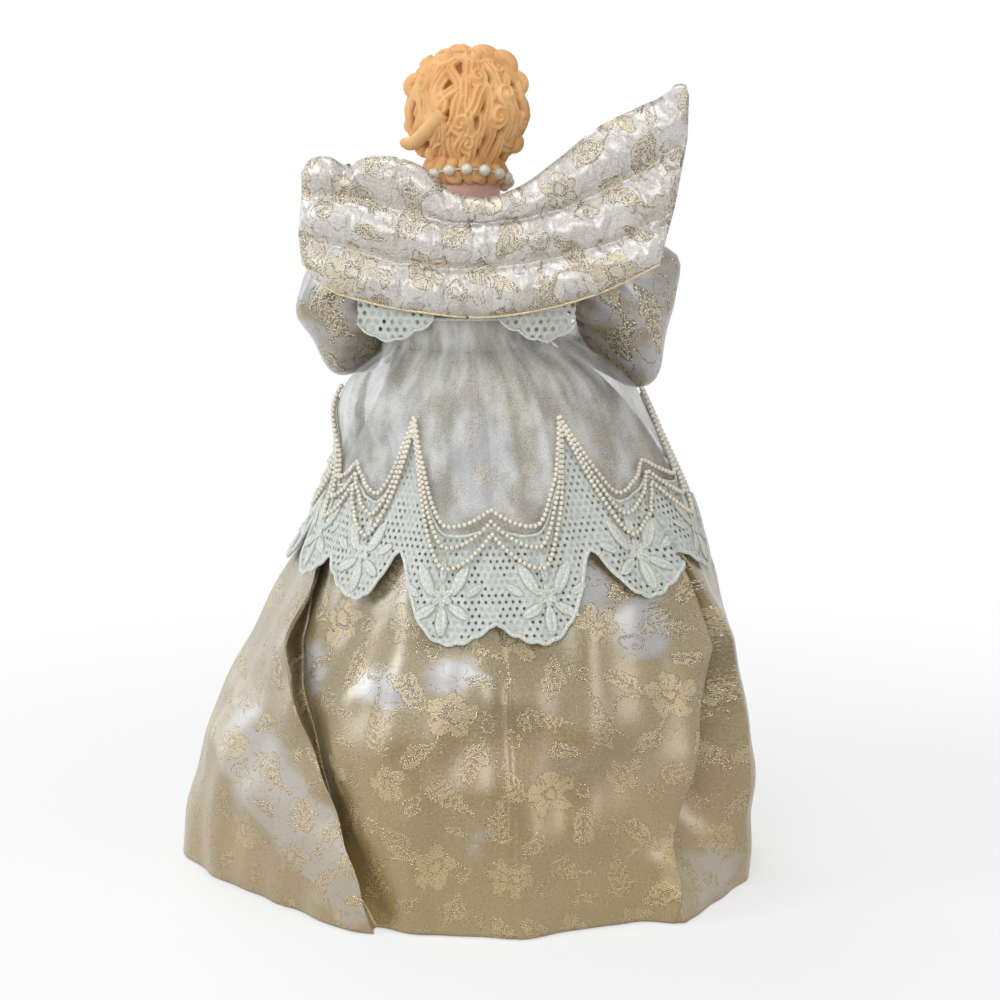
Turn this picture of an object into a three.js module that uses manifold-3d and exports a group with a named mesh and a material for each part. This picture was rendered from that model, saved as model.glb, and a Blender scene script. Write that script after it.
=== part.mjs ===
// An angel tree topper: a cloth doll on a hollow cone that slips over the tip of a tree.
// Millimetres, +Z up, the angel faces -Y, and its left hand is at +X.
// The origin is on the floor, in the middle of the skirt's hem.
import * as THREE from 'three';
import { mergeVertices } from 'three/addons/utils/BufferGeometryUtils.js';
import Module from 'manifold-3d';

const wasm = await Module();
wasm.setup();

// Driving dimensions
const CLEARANCE = 0.3;
const LAYER_EASE = 0.5;
const CLOTH = 1.2;
const ORGANZA = 0.8;
const LACE = 0.9;

const CONE_HEIGHT = 176;
const CONE_TOP_RADIUS = 17;
const CONE_RIM_RADIUS = 72;
const CONE_RIM_WIDTH = 8;
const CONE_RIM_THICKNESS = 2;
const CONE_WALL = 1.6;

const TORSO_HEIGHT = 60;
const TORSO_BASE_RADIUS = 19;
const WAIST_RISE = 20;
const WAIST_HALF_WIDTH = 25;
const WAIST_HALF_DEPTH = 23;
const CHEST_RISE = 40;
const CHEST_HALF_WIDTH = 29;
const CHEST_HALF_DEPTH = 27;
const SHOULDER_HALF_WIDTH = 27;
const SHOULDER_HALF_DEPTH = 20;

const PLATE_HEIGHT = 16;
const PLATE_RIM_HEIGHT = 3;
const PLATE_RIM_SLOPE = 1;
const NECK_STUMP = 5;
const NECK_RADIUS = 12;
const DOWEL_RADIUS = 4;
const DOWEL_IN_TORSO = 22;
const DOWEL_IN_HEAD = 18;
const NECK_LENGTH = 4;
const SKULL_HALF_WIDTH = 17.5;
const SKULL_HALF_DEPTH = 19.5;
const SKULL_HALF_HEIGHT = 22;
const SKULL_FORWARD = 2;
const JAW_NARROWING = 0.22;
const JAW_SHALLOWING = 0.12;
const CHIN_FORWARD = 1.5;
const NOSE_HALF_WIDTH = 2.2;
const NOSE_DEPTH = 3;
const NOSE_HALF_HEIGHT = 4;
const HEAD_TURN_DEG = 35;
const HAIR_THICKNESS = 3.6;
const HAIR_WAVE = 1.8;
const WHORL_ARMS = 7;
const WHORL_TWIST = 2.4;
const WHORL_TILT_DEG = 35;
const CURL_RADIUS = 4.6;
const BROW_CURL_DEG = 43;
const CHEEK_CURL_DEG = 60;
const EAR_CURL_DEG = 98;
const BEAD_RADIUS = 1.8;
const THREAD_RADIUS = 0.6;

const HEM_HALF_WIDTH = 106;
const HEM_HALF_DEPTH = 92;
const HEM_LIFT = 0.6;
const PLEAT_DEPTH = 18;
const PLEAT_RIDGE_HEIGHT = 8;
const PLEAT_LIP_HEIGHT = 3.6;
const LAP_RIDGE_HEIGHT = 4.5;
const LAP_VALLEY_DEPTH = 8;
const TOE_REACH = 14;
const OVERLAY_DROP = 46;
const LACE_DEPTH = 20;
const LACE_TIPS = 15;
const LACE_TIP_DEPTH = 9;
const TRAIN_DROP = 14;
const PEARL_RADIUS = 0.9;
const UPPER_SWAG_HANG = 3;
const UPPER_SWAG_RISE = 16;
const LOWER_SWAG_HANG = 11;
const LOWER_SWAG_RISE = 8;
const TRAIN_CENTRE_DEG = -8;
const TRAIN_HALF_WIDTH_DEG = 34;

const WING_HINGE_X = 16;
const WING_SEAT_RISE = 14;
const WING_HEIGHT = 43;
const WING_CROWN = 5.6;
const WING_EDGE = 0.9;
const WING_STITCHES = [0.37, 0.72];
const WING_WIRE_RADIUS = 1;
const WING_RELIEF_DEG = 12;
const LEFT_WING_SPAN = 60;
const LEFT_WING_LIFT = 15;
const LEFT_TIP_RISE = 13;
const LEFT_SHOULDER = 12;
const LEFT_TIP_FORWARD = 9;
const LEFT_TIP_ROUNDING = 0.14;
const RIGHT_WING_SPAN = 76;
const RIGHT_WING_LIFT = 21;
const RIGHT_TIP_RISE = 37;
const RIGHT_SHOULDER = 45;
const RIGHT_TIP_FORWARD = -4;
const RIGHT_TIP_SLANT = 0.12;

const SHOULDER_RISE = 50;
const ARM_WIRE_RADIUS = 1.5;
const ARM_WIRE_IN_TORSO = 14;
const ARMHOLE_RADIUS = 9;
const WRIST_RADIUS = 7.5;
const CUFF_LENGTH = 9;
const CUFF_FLARE = 6;
const CUFF_SCALLOPS = 8;
const CUFF_SCALLOP_DEPTH = 0.12;
const HAND_LENGTH = 24;
const HAND_HALF_WIDTH = 6;
const HAND_HALF_THICKNESS = 3.4;
const WIRE_IN_HAND = 7;
const COLLAR_DROP = 13;
const COLLAR_LEAST_DROP = 6;
const COLLAR_FROM_DEG = 27;
const COLLAR_TO_DEG = 66;

// Heights that follow from the stack: cone, torso, shoulder plate, head
const TORSO_BASE = CONE_HEIGHT + CLEARANCE;
const WAIST = TORSO_BASE + WAIST_RISE;
const TORSO_TOP = TORSO_BASE + TORSO_HEIGHT;
const PLATE_BASE = TORSO_TOP + CLEARANCE;
const PLATE_TOP = PLATE_BASE + PLATE_HEIGHT;
const HEAD_BASE = PLATE_TOP + CLEARANCE;
const SKULL_CENTRE = HEAD_BASE + NECK_LENGTH + SKULL_HALF_HEIGHT;
const SHOULDER = TORSO_BASE + SHOULDER_RISE;
const WING_BOTTOM = WAIST + WING_SEAT_RISE;

// Materials
const matte = (color, roughness = 0.8, metalness = 0) =>
  new THREE.MeshStandardMaterial({ color, roughness, metalness });
const BROCADE = matte(0xc2ab7d, 0.42);
const SHEER = matte(0xdcd9d0, 0.6);
const WHITE_LACE = matte(0xe4e2d8, 0.85);
const PEARL = matte(0xefe9dc, 0.25);
const SKIN = matte(0xecc4b4, 0.5);
const HAIR = matte(0xc98d4a, 0.6);
const CARD = matte(0xb79a72, 0.9);
const FOAM = matte(0xf0ede4, 0.9);
const WOOD = matte(0xc8a878, 0.8);
const STEEL = matte(0x9a9a98, 0.4, 1);

const radians = THREE.MathUtils.degToRad;
const lerp = THREE.MathUtils.lerp;

// A mesh turned so that its faces point out, whichever way its surface was walked.
function outward(geometry) {
  const point = geometry.getAttribute('position');
  const index = geometry.index.array;
  const corner = [new THREE.Vector3(), new THREE.Vector3(), new THREE.Vector3()];
  let volume = 0;
  for (let i = 0; i < index.length; i += 3) {
    corner.forEach((c, k) => c.fromBufferAttribute(point, index[i + k]));
    volume += corner[0].dot(corner[1].clone().cross(corner[2]));
  }
  if (volume < 0) {
    for (let i = 0; i < index.length; i += 3) [index[i + 1], index[i + 2]] = [index[i + 2], index[i + 1]];
  }
  return geometry;
}

// Only the positions, with shared corners merged and faces that have no area left out.
function welded(geometry) {
  const bare = new THREE.BufferGeometry();
  bare.setAttribute('position', geometry.getAttribute('position'));
  if (geometry.index) bare.setIndex(geometry.index);
  const merged = mergeVertices(bare, 1e-3);
  const kept = [];
  for (let i = 0; i < merged.index.count; i += 3) {
    const [a, b, c] = [0, 1, 2].map((k) => merged.index.getX(i + k));
    if (a !== b && b !== c && c !== a) kept.push(a, b, c);
  }
  return outward(merged.setIndex(kept));
}

function solidOf(geometry) {
  const clean = welded(geometry);
  const mesh = new wasm.Mesh({
    numProp: 3,
    vertProperties: new Float32Array(clean.getAttribute('position').array),
    triVerts: new Uint32Array(clean.index.array),
  });
  return new wasm.Manifold(mesh);
}

function geometryOf(solid) {
  const mesh = solid.getMesh();
  const geometry = new THREE.BufferGeometry();
  geometry.setAttribute('position', new THREE.BufferAttribute(new Float32Array(mesh.vertProperties), 3));
  return geometry.setIndex(new THREE.BufferAttribute(new Uint32Array(mesh.triVerts), 1));
}

const cut = (geometry, ...tools) =>
  geometryOf(tools.reduce((left, tool) => left.subtract(solidOf(tool)), solidOf(geometry)));
const join = (geometry, ...others) =>
  geometryOf(others.reduce((sum, other) => sum.add(solidOf(other)), solidOf(geometry)));

// Joins rows of points into faces. A row closes on itself, and so do the rows when they loop.
function grid(rows, { closeRow = false, closeRows = false } = {}) {
  const across = rows[0].length;
  const faces = [];
  const lastRow = closeRows ? rows.length : rows.length - 1;
  const lastColumn = closeRow ? across : across - 1;
  for (let i = 0; i < lastRow; i += 1) {
    for (let j = 0; j < lastColumn; j += 1) {
      const a = i * across + j;
      const b = i * across + ((j + 1) % across);
      const c = ((i + 1) % rows.length) * across + j;
      const d = ((i + 1) % rows.length) * across + ((j + 1) % across);
      faces.push(a, c, b, b, c, d);
    }
  }
  const geometry = new THREE.BufferGeometry().setFromPoints(rows.flat());
  return geometry.setIndex(faces);
}

// A solid skinned over closed rings, with a fan over the first and the last ring.
function loft(rings) {
  const centreOf = (ring) =>
    ring.reduce((sum, p) => sum.add(p), new THREE.Vector3()).divideScalar(ring.length);
  const fan = (ring) => ring.map(() => centreOf(ring));
  return welded(grid([fan(rings[0]), ...rings, fan(rings.at(-1))], { closeRow: true }));
}

// A wall between two surfaces that go round: out over one, over the rim and back under the other.
function shell(outer, inner) {
  return welded(grid([...outer, ...[...inner].reverse()], { closeRow: true, closeRows: true }));
}

// A pad or plate between a front and a back surface of the same rows, closed along its borders.
function slab(front, back) {
  const rows = front.map((row, i) => [...row, ...[...back[i]].reverse()]);
  const flat = (row, other) => {
    const middle = row.map((p, k) => p.clone().lerp(other[k], 0.5));
    return [...middle, ...[...middle].reverse()];
  };
  return welded(
    grid([flat(front[0], back[0]), ...rows, flat(front.at(-1), back.at(-1))], { closeRow: true }),
  );
}

// A round rod along a path.
function rod(path, radius, steps, sides = 8) {
  const section = new THREE.Shape(
    Array.from({ length: sides }, (_, k) =>
      new THREE.Vector2(radius, 0).rotateAround(new THREE.Vector2(), (k / sides) * 2 * Math.PI)),
  );
  return new THREE.ExtrudeGeometry(section, { steps, extrudePath: path });
}

function upright(radius, from, to, sides = 24) {
  const geometry = new THREE.CylinderGeometry(radius, radius, to - from, sides);
  return geometry.rotateX(Math.PI / 2).translate(0, 0, (from + to) / 2);
}

// A ring of points at one height. The angle runs from the back, +Y, towards the angel's left, +X.
function ringAt(z, radiusAt, count) {
  return Array.from({ length: count }, (_, k) => {
    const angle = (k / count) * 2 * Math.PI;
    const radius = radiusAt(angle);
    return new THREE.Vector3(radius * Math.sin(angle), radius * Math.cos(angle), z);
  });
}

const ellipseRadius = (halfWidth, halfDepth) => (angle) =>
  1 / Math.hypot(Math.sin(angle) / halfWidth, Math.cos(angle) / halfDepth);

// The angle from one bearing to another, between half a turn either way.
const bearingGap = (angle, other) =>
  THREE.MathUtils.euclideanModulo(angle - other + Math.PI, 2 * Math.PI) - Math.PI;
const degreesGap = (bearing, other) =>
  THREE.MathUtils.radToDeg(bearingGap(radians(bearing), radians(other)));

const hump = (gap, width) => Math.exp(-((gap / width) ** 2));

// The torso's outline: a base, a waist, a chest and shoulders, each an ellipse at its height
const BASE_SECTION = [0, TORSO_BASE_RADIUS, TORSO_BASE_RADIUS];
const WAIST_SECTION = [WAIST_RISE, WAIST_HALF_WIDTH, WAIST_HALF_DEPTH];
const CHEST_SECTION = [CHEST_RISE, CHEST_HALF_WIDTH, CHEST_HALF_DEPTH];
const SHOULDER_SECTION = [TORSO_HEIGHT, SHOULDER_HALF_WIDTH, SHOULDER_HALF_DEPTH];
// A section between two others, by its shares of the way in height, width and depth.
const sectionBetween = (low, high, shares) => low.map((value, k) => lerp(value, high[k], shares[k]));
const TORSO_SECTIONS = [
  BASE_SECTION,
  sectionBetween(BASE_SECTION, WAIST_SECTION, [0.5, 0.7, 0.7]),
  WAIST_SECTION,
  sectionBetween(WAIST_SECTION, CHEST_SECTION, [0.5, 0.6, 0.6]),
  CHEST_SECTION,
  sectionBetween(CHEST_SECTION, SHOULDER_SECTION, [0.6, 0.3, 0.5]),
  SHOULDER_SECTION,
];

function torsoSection(rise) {
  const above = Math.max(1, TORSO_SECTIONS.findIndex(([r]) => r >= rise - 1e-6));
  const [low, high] = [TORSO_SECTIONS[above - 1], TORSO_SECTIONS[above]];
  const share = (rise - low[0]) / (high[0] - low[0]);
  return [lerp(low[1], high[1], share), lerp(low[2], high[2], share)];
}

// The skirt's radius by bearing and by share of the way down, from 0 at the waist to 1 at the hem.
// Each soft fold: its bearing and half width in degrees, how far it stands out at the hem, as a share of
// the hem's half width, and how late it grows.
const FOLDS = [
  { bearing: 57, width: 24, out: -0.113, growth: 2.2 },
  { bearing: 94, width: 9, out: 0.047, growth: 2 },
  { bearing: -13, width: 9, out: 0.032, growth: 3 },
  { bearing: 128, width: 13, out: 0.057, growth: 1.5 },
  { bearing: 146, width: 7, out: 0.033, growth: 1.5 },
  { bearing: 163, width: 12, out: -0.066, growth: 1.5 },
  { bearing: -174, width: 9, out: -0.057, growth: 1.5 },
  { bearing: -150, width: 9, out: 0.047, growth: 1.5 },
  { bearing: -122, width: 12, out: -0.047, growth: 1.5 },
  { bearing: -103, width: 8, out: 0.028, growth: 1.5 },
];
const BELL_BACK = 0.85;
const BELL_LEFT = 1.25;
const BELL_RIGHT = 0.6;

function foldHeight(bearing, share) {
  const out = FOLDS.map((fold) =>
    fold.out * share ** fold.growth * hump(degreesGap(bearing, fold.bearing), fold.width));
  return HEM_HALF_WIDTH * out.reduce((sum, value) => sum + value, 0);
}

// Three lines run down the skirt: where the left panel laps over the back one, and the edge and the ridge
// of the deep pleat on the right. Each has a bearing, in degrees, at each of these shares.
const LINE_SHARES = [0.3, 0.41, 0.54, 0.69, 0.84, 1];
const LAP_LINE = [71, 69, 64, 49, 37, 22];
const PLEAT_EDGE = [-60, -62, -62.5, -54.5, -47.5, -43];
const PLEAT_RIDGE = [-63, -66, -70, -70, -71, -73];
// How much of their depth the lap and the pleat have at the same shares.
const LAP_STRENGTH = [0, 0.2, 1, 1, 1, 0.5];
const PLEAT_STRENGTH = [0, 0, 0.9, 1, 0.75, 0.1];
// Half widths in degrees of the swells beside the lines, and the bearing of the toe at the pleat's foot.
const LAP_RIDGE_WIDTH = 13;
const LAP_VALLEY_WIDTH = 11;
const PLEAT_RIDGE_WIDTH = 9;
const PLEAT_LIP_WIDTH = 8;
const TOE_BEARING = -45;
const TOE_ROUNDING = 4;
const TOE_FADING = 13;
const TOE_START = 0.84;

function alongLine(values, share) {
  const below = LINE_SHARES.findIndex((lineShare) => lineShare >= share);
  if (below === 0) return values[0];
  const [low, high] = [LINE_SHARES[below - 1], LINE_SHARES[below]];
  return lerp(values[below - 1], values[below], (share - low) / (high - low));
}

// The left panel stands up along its line and the back panel dips beside it.
function lapHeight(bearing, share) {
  const past = degreesGap(bearing, alongLine(LAP_LINE, share));
  const ridge = LAP_RIDGE_HEIGHT * hump(past, LAP_RIDGE_WIDTH);
  const valley = -LAP_VALLEY_DEPTH * hump(past, LAP_VALLEY_WIDTH);
  return alongLine(LAP_STRENGTH, share) * (past > -0.01 ? ridge : valley);
}

// Past its edge the pleat drops steeply, climbs slowly and stands up again at its ridge.
function pleatHeight(bearing, share) {
  const edge = alongLine(PLEAT_EDGE, share);
  const ridge = alongLine(PLEAT_RIDGE, share);
  const across = THREE.MathUtils.clamp((edge - bearing) / (edge - ridge), 0, 1);
  const valley = PLEAT_DEPTH * Math.sin(Math.PI * Math.sqrt(across));
  const stand = PLEAT_RIDGE_HEIGHT * hump(bearing - ridge, PLEAT_RIDGE_WIDTH);
  const lip = across > 0 ? 0 : PLEAT_LIP_HEIGHT * hump(bearing - edge, PLEAT_LIP_WIDTH);
  return alongLine(PLEAT_STRENGTH, share) * (stand + lip - valley);
}

// At the pleat's foot a lobe of the hem lies out on the floor, like a toe.
function toeHeight(bearing, share) {
  const past = TOE_BEARING - bearing;
  const lobe = past < 0 ? hump(past, TOE_ROUNDING) : Math.exp(-past / TOE_FADING);
  return TOE_REACH * THREE.MathUtils.smoothstep(share, TOE_START, 1) * lobe;
}

const waistRadius = ellipseRadius(
  WAIST_HALF_WIDTH + CLEARANCE + CLOTH, WAIST_HALF_DEPTH + CLEARANCE + CLOTH);
const hemRadius = ellipseRadius(HEM_HALF_WIDTH, HEM_HALF_DEPTH);

function bareSkirtRadius(bearing, share) {
  const angle = radians(bearing);
  const sideways = Math.sin(angle) ** 2;
  const power = lerp(BELL_BACK, bearing > 0 ? BELL_LEFT : BELL_RIGHT, sideways);
  const bell = Math.sin((Math.PI / 2) * share ** power);
  const folds = [foldHeight, lapHeight, pleatHeight, toeHeight].map((height) => height(bearing, share));
  return lerp(waistRadius(angle), hemRadius(angle), bell) + folds.reduce((sum, value) => sum + value, 0);
}

// Down from the lace the columns of points lean, so that three of them run along the three lines and
// those between lean in proportion.
const COLUMN_LINES = [
  { column: -180 },
  { column: -114 },
  { column: -72, line: PLEAT_RIDGE },
  { column: -54, line: PLEAT_EDGE },
  { column: -18 },
  { column: 0 },
  { column: 42, line: LAP_LINE },
  { column: 96 },
  { column: 180 },
];

function columnBearing(column, share) {
  const leaning = ({ column: upright, line }) =>
    (line && share > LINE_SHARES[1] + 0.01 ? alongLine(line, share) : upright);
  const above = Math.max(1, COLUMN_LINES.findIndex((entry) => entry.column >= column));
  const [low, high] = [COLUMN_LINES[above - 1], COLUMN_LINES[above]];
  return lerp(leaning(low), leaning(high), (column - low.column) / (high.column - low.column));
}

// The skirt's rows of points lie closer together near the waist, where it curves most.
const SKIRT_COUNT = 4 * LACE_TIPS;
const SKIRT_ROWS = 10;
const ROW_CROWDING = 1.5;
const SKIRT_SHARES = Array.from(
  { length: SKIRT_ROWS }, (_, i) => (i / (SKIRT_ROWS - 1)) ** ROW_CROWDING);

const skirtHeight = (share) => lerp(WAIST, HEM_LIFT, share);
const skirtShare = (z) => (WAIST - z) / (WAIST - HEM_LIFT);
const skirtAngles = Array.from({ length: SKIRT_COUNT }, (_, k) => (k / SKIRT_COUNT) * 2 * Math.PI);

function hangingPoint(angle, share, out) {
  const bearing = columnBearing(THREE.MathUtils.radToDeg(bearingGap(angle, 0)), share);
  const radius = bareSkirtRadius(bearing, share) + out;
  const turn = radians(bearing);
  return new THREE.Vector3(radius * Math.sin(turn), radius * Math.cos(turn), skirtHeight(share));
}

// The hem's folds aren't even, so the cloth leans to keep the hem centred over the origin.
const hemBox = new THREE.Box3().setFromPoints(skirtAngles.map((angle) => hangingPoint(angle, 1, 0)));
const HEM_OFFSET = hemBox.getCenter(new THREE.Vector3()).multiplyScalar(-1).setZ(0);

const skirtPoint = (angle, share, out) =>
  hangingPoint(angle, share, out).addScaledVector(HEM_OFFSET, share ** 2);

// A point on the flat faces between two rows, so that a layer over the skirt lies along its facets.
function skirtFacetPoint(angle, share, out) {
  const above = Math.max(1, SKIRT_SHARES.findIndex((row) => row >= share - 1e-9));
  const [low, high] = [SKIRT_SHARES[above - 1], SKIRT_SHARES[above]];
  return skirtPoint(angle, low, out).lerp(skirtPoint(angle, high, out), (share - low) / (high - low));
}

// Rings over the skirt, moved out by a distance, between two edges that may rise and fall.
function skirtRings(shareOf, out) {
  return shareOf.map((share) => skirtAngles.map((angle) => skirtFacetPoint(angle, share(angle), out)));
}

// The rows of a layer between two edges: its edges, and each of the skirt's rows that it crosses.
const ROW_STEP = 0.004;
function layerRows(topAt, bottomAt) {
  const highest = Math.min(...skirtAngles.map(topAt));
  const deepest = Math.max(...skirtAngles.map(bottomAt));
  const crossed = SKIRT_SHARES.filter((share) => share > highest && share < deepest);
  const rows = crossed.map((share, i) => (angle) =>
    THREE.MathUtils.clamp(
      share, topAt(angle) + ROW_STEP * (i + 1), bottomAt(angle) - ROW_STEP * (crossed.length - i)));
  return [topAt, ...rows, bottomAt];
}

// Inside: the cone, the torso form and the neck dowel

function treeCone() {
  const lean = (CONE_RIM_RADIUS - CONE_TOP_RADIUS) / (CONE_HEIGHT - CONE_RIM_THICKNESS);
  const wallAcross = CONE_WALL * Math.hypot(1, lean);
  const profile = [
    [0, CONE_HEIGHT - CONE_WALL],
    [CONE_TOP_RADIUS - wallAcross + lean * CONE_WALL, CONE_HEIGHT - CONE_WALL],
    [CONE_RIM_RADIUS - CONE_RIM_WIDTH, CONE_RIM_THICKNESS + (CONE_RIM_WIDTH - wallAcross) / lean],
    [CONE_RIM_RADIUS - CONE_RIM_WIDTH, 0],
    [CONE_RIM_RADIUS, 0],
    [CONE_RIM_RADIUS, CONE_RIM_THICKNESS],
    [CONE_TOP_RADIUS, CONE_HEIGHT],
    [0, CONE_HEIGHT],
  ];
  const lathe = new THREE.LatheGeometry(profile.map(([r, z]) => new THREE.Vector2(r, z)), 40);
  return welded(lathe.rotateX(Math.PI / 2));
}

function torsoForm() {
  const rings = TORSO_SECTIONS.map(([rise, width, depth]) =>
    ringAt(TORSO_BASE + rise, ellipseRadius(width, depth), 28));
  const holeFloor = TORSO_TOP - DOWEL_IN_TORSO - CLEARANCE;
  const dowelHole = upright(DOWEL_RADIUS + CLEARANCE, holeFloor, PLATE_BASE + CLOTH);
  const wireHole = ARM_WIRE_RADIUS + CLEARANCE;
  const armHole = (side) =>
    new THREE.CylinderGeometry(wireHole, wireHole, CHEST_HALF_WIDTH, 12)
      .rotateZ(Math.PI / 2)
      .translate(side * (1.5 * CHEST_HALF_WIDTH - ARM_WIRE_IN_TORSO - CLEARANCE), 0, SHOULDER);
  return cut(loft(rings), dowelHole, armHole(1), armHole(-1));
}

const neckDowel = () =>
  upright(DOWEL_RADIUS, TORSO_TOP - DOWEL_IN_TORSO, HEAD_BASE + DOWEL_IN_HEAD, 16);

// Skin: the shoulder plate, the head and its moulded hair

function shoulderPlate() {
  const stump = PLATE_TOP - NECK_STUMP;
  const rim = PLATE_BASE + PLATE_RIM_HEIGHT;
  const halfway = (wide) => lerp(wide, NECK_RADIUS, 0.5);
  const rings = [
    [PLATE_BASE, SHOULDER_HALF_WIDTH, SHOULDER_HALF_DEPTH],
    [rim, SHOULDER_HALF_WIDTH - PLATE_RIM_SLOPE, SHOULDER_HALF_DEPTH - PLATE_RIM_SLOPE / 2],
    [lerp(rim, stump, 0.5), halfway(SHOULDER_HALF_WIDTH), halfway(SHOULDER_HALF_DEPTH)],
    [stump, NECK_RADIUS, NECK_RADIUS],
    [PLATE_TOP, NECK_RADIUS, NECK_RADIUS],
  ].map(([z, width, depth]) => ringAt(z, ellipseRadius(width, depth), 28));
  return cut(loft(rings), upright(DOWEL_RADIUS + CLEARANCE, PLATE_BASE - CLOTH, PLATE_TOP + CLOTH));
}

// An egg of the skull's size, grown by a distance; the jaw is drawn in and comes forward.
function skullAt(grow, across, down, wave = () => 0) {
  const ball = new THREE.SphereGeometry(1, across, down).rotateX(Math.PI / 2);
  const point = ball.getAttribute('position');
  for (let i = 0; i < point.count; i += 1) {
    const [x, y, z] = [point.getX(i), point.getY(i), point.getZ(i)];
    const jaw = Math.max(0, -z);
    const out = grow + wave(x, y, z);
    point.setXYZ(
      i,
      x * (SKULL_HALF_WIDTH + out) * (1 - JAW_NARROWING * jaw),
      y * (SKULL_HALF_DEPTH + out) * (1 - JAW_SHALLOWING * jaw) - SKULL_FORWARD - CHIN_FORWARD * jaw,
      z * (SKULL_HALF_HEIGHT + out) + SKULL_CENTRE,
    );
  }
  return ball;
}

function headShape(grow) {
  const neck = upright(NECK_RADIUS + grow, HEAD_BASE - grow, SKULL_CENTRE);
  const nose = new THREE.SphereGeometry(1, 10, 8)
    .scale(NOSE_HALF_WIDTH + grow, NOSE_DEPTH + grow, NOSE_HALF_HEIGHT + grow)
    .translate(0, -SKULL_HALF_DEPTH - SKULL_FORWARD, SKULL_CENTRE - 0.2 * SKULL_HALF_HEIGHT);
  return join(skullAt(grow, 22, 14), neck, nose);
}

function head() {
  const holeTop = HEAD_BASE + DOWEL_IN_HEAD + CLEARANCE;
  return cut(headShape(0), upright(DOWEL_RADIUS + CLEARANCE, HEAD_BASE - CLOTH, holeTop));
}

const NECKLACE_TOP = PLATE_TOP + BEAD_RADIUS;

// The hair's waves wind out from a whorl at the back of the crown: ridges that turn with the distance from it.
function hairWave(x, y, z) {
  const whorl = new THREE.Vector3(x, y, z).applyAxisAngle(new THREE.Vector3(1, 0, 0), radians(WHORL_TILT_DEG));
  const away = Math.acos(THREE.MathUtils.clamp(whorl.z, -1, 1));
  const round = Math.atan2(whorl.y, whorl.x);
  return HAIR_WAVE * Math.sin(away) * Math.sin(WHORL_ARMS * (round + WHORL_TWIST * Math.sin(away)));
}

// Curly hair cast as one cap of waves, open at the face, with loose curls beside the cheeks, brow and ears.
function hair() {
  const reach = SKULL_HALF_DEPTH + HAIR_THICKNESS;
  const cap = skullAt(HAIR_THICKNESS, 32, 20, hairWave);
  const nape = upright(NECK_RADIUS + HAIR_THICKNESS, HEAD_BASE, SKULL_CENTRE, 20)
    .translate(0, SKULL_FORWARD, 0);
  const curl = (bearing, rise) =>
    new THREE.IcosahedronGeometry(CURL_RADIUS, 1).translate(
      SKULL_HALF_WIDTH * 1.05 * Math.sin(bearing),
      -SKULL_HALF_DEPTH * 0.95 * Math.cos(bearing) - SKULL_FORWARD,
      SKULL_CENTRE + rise * SKULL_HALF_HEIGHT,
    );
  const curls = [-1, 1].flatMap((side) => [
    curl(side * radians(BROW_CURL_DEG), 0.5),
    curl(side * radians(CHEEK_CURL_DEG), -0.38),
    curl(side * radians(EAR_CURL_DEG), -0.6),
    curl(side * radians(EAR_CURL_DEG), 0.3),
  ]);
  const face = new THREE.SphereGeometry(1, 20, 14)
    .scale(SKULL_HALF_WIDTH * 0.8, reach, SKULL_HALF_HEIGHT * 0.9)
    .translate(0, -reach, SKULL_CENTRE - 0.18 * SKULL_HALF_HEIGHT);
  const jawRoom = new THREE.BoxGeometry(4 * reach, reach, 2 * SKULL_HALF_HEIGHT)
    .translate(0, -0.75 * reach, SKULL_CENTRE - 1.5 * SKULL_HALF_HEIGHT);
  const collarRoom = upright(
    3 * reach, HEAD_BASE - SKULL_HALF_HEIGHT, Math.max(NECKLACE_TOP, HEAD_BASE) + CLEARANCE);
  return cut(join(cap, nape, ...curls), headShape(CLEARANCE), face, jawRoom, collarRoom);
}

// Pearls on a thread, lying round the neck over the joint.
function necklace() {
  const ring = NECK_RADIUS + CLEARANCE + BEAD_RADIUS;
  const count = Math.floor((2 * Math.PI * ring) / (2.15 * BEAD_RADIUS));
  const thread = new THREE.TorusGeometry(ring, THREAD_RADIUS, 4, count);
  const bead = (k) =>
    new THREE.IcosahedronGeometry(BEAD_RADIUS)
      .translate(ring, 0, 0)
      .rotateZ((k / count) * 2 * Math.PI);
  const beads = Array.from({ length: count }, (_, k) => bead(k));
  return join(thread, ...beads).translate(0, 0, PLATE_TOP);
}

// Cloth: bodice, skirt, organza overlay and its lace

function bodiceRings(out, bottom, top) {
  const between = TORSO_SECTIONS.map(([rise]) => TORSO_BASE + rise).filter((z) => z > bottom && z < top);
  return [bottom, ...between, top].map((z) => {
    const [width, depth] = torsoSection(z - TORSO_BASE);
    return ringAt(z, ellipseRadius(width + out, depth + out), 28);
  });
}

function bodice() {
  const bottom = WAIST + CLEARANCE;
  const top = TORSO_TOP - CLEARANCE;
  const wall = shell(bodiceRings(LAYER_EASE + CLOTH, bottom, top), bodiceRings(LAYER_EASE, bottom, top));
  const armhole = new THREE.CylinderGeometry(ARMHOLE_RADIUS, ARMHOLE_RADIUS, 4 * CHEST_HALF_WIDTH, 16)
    .rotateZ(Math.PI / 2)
    .translate(0, 0, SHOULDER);
  return cut(wall, armhole);
}

function skirt() {
  const rows = SKIRT_SHARES.map((share) => () => share);
  return shell(skirtRings(rows, 0), skirtRings(rows, -CLOTH));
}

// The overlay hangs lowest at the back, as a short train.
const train = (angle) =>
  TRAIN_DROP * hump(bearingGap(angle, radians(TRAIN_CENTRE_DEG)), radians(TRAIN_HALF_WIDTH_DEG));
const overlayEdge = (angle) => skirtShare(WAIST - OVERLAY_DROP - train(angle));

function laceEdge(angle) {
  const tip = 0.5 + 0.5 * Math.cos(LACE_TIPS * (angle - radians(TRAIN_CENTRE_DEG)) + Math.PI);
  return skirtShare(WAIST - OVERLAY_DROP - train(angle) * 1.3 - LACE_DEPTH - LACE_TIP_DEPTH * tip);
}

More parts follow.
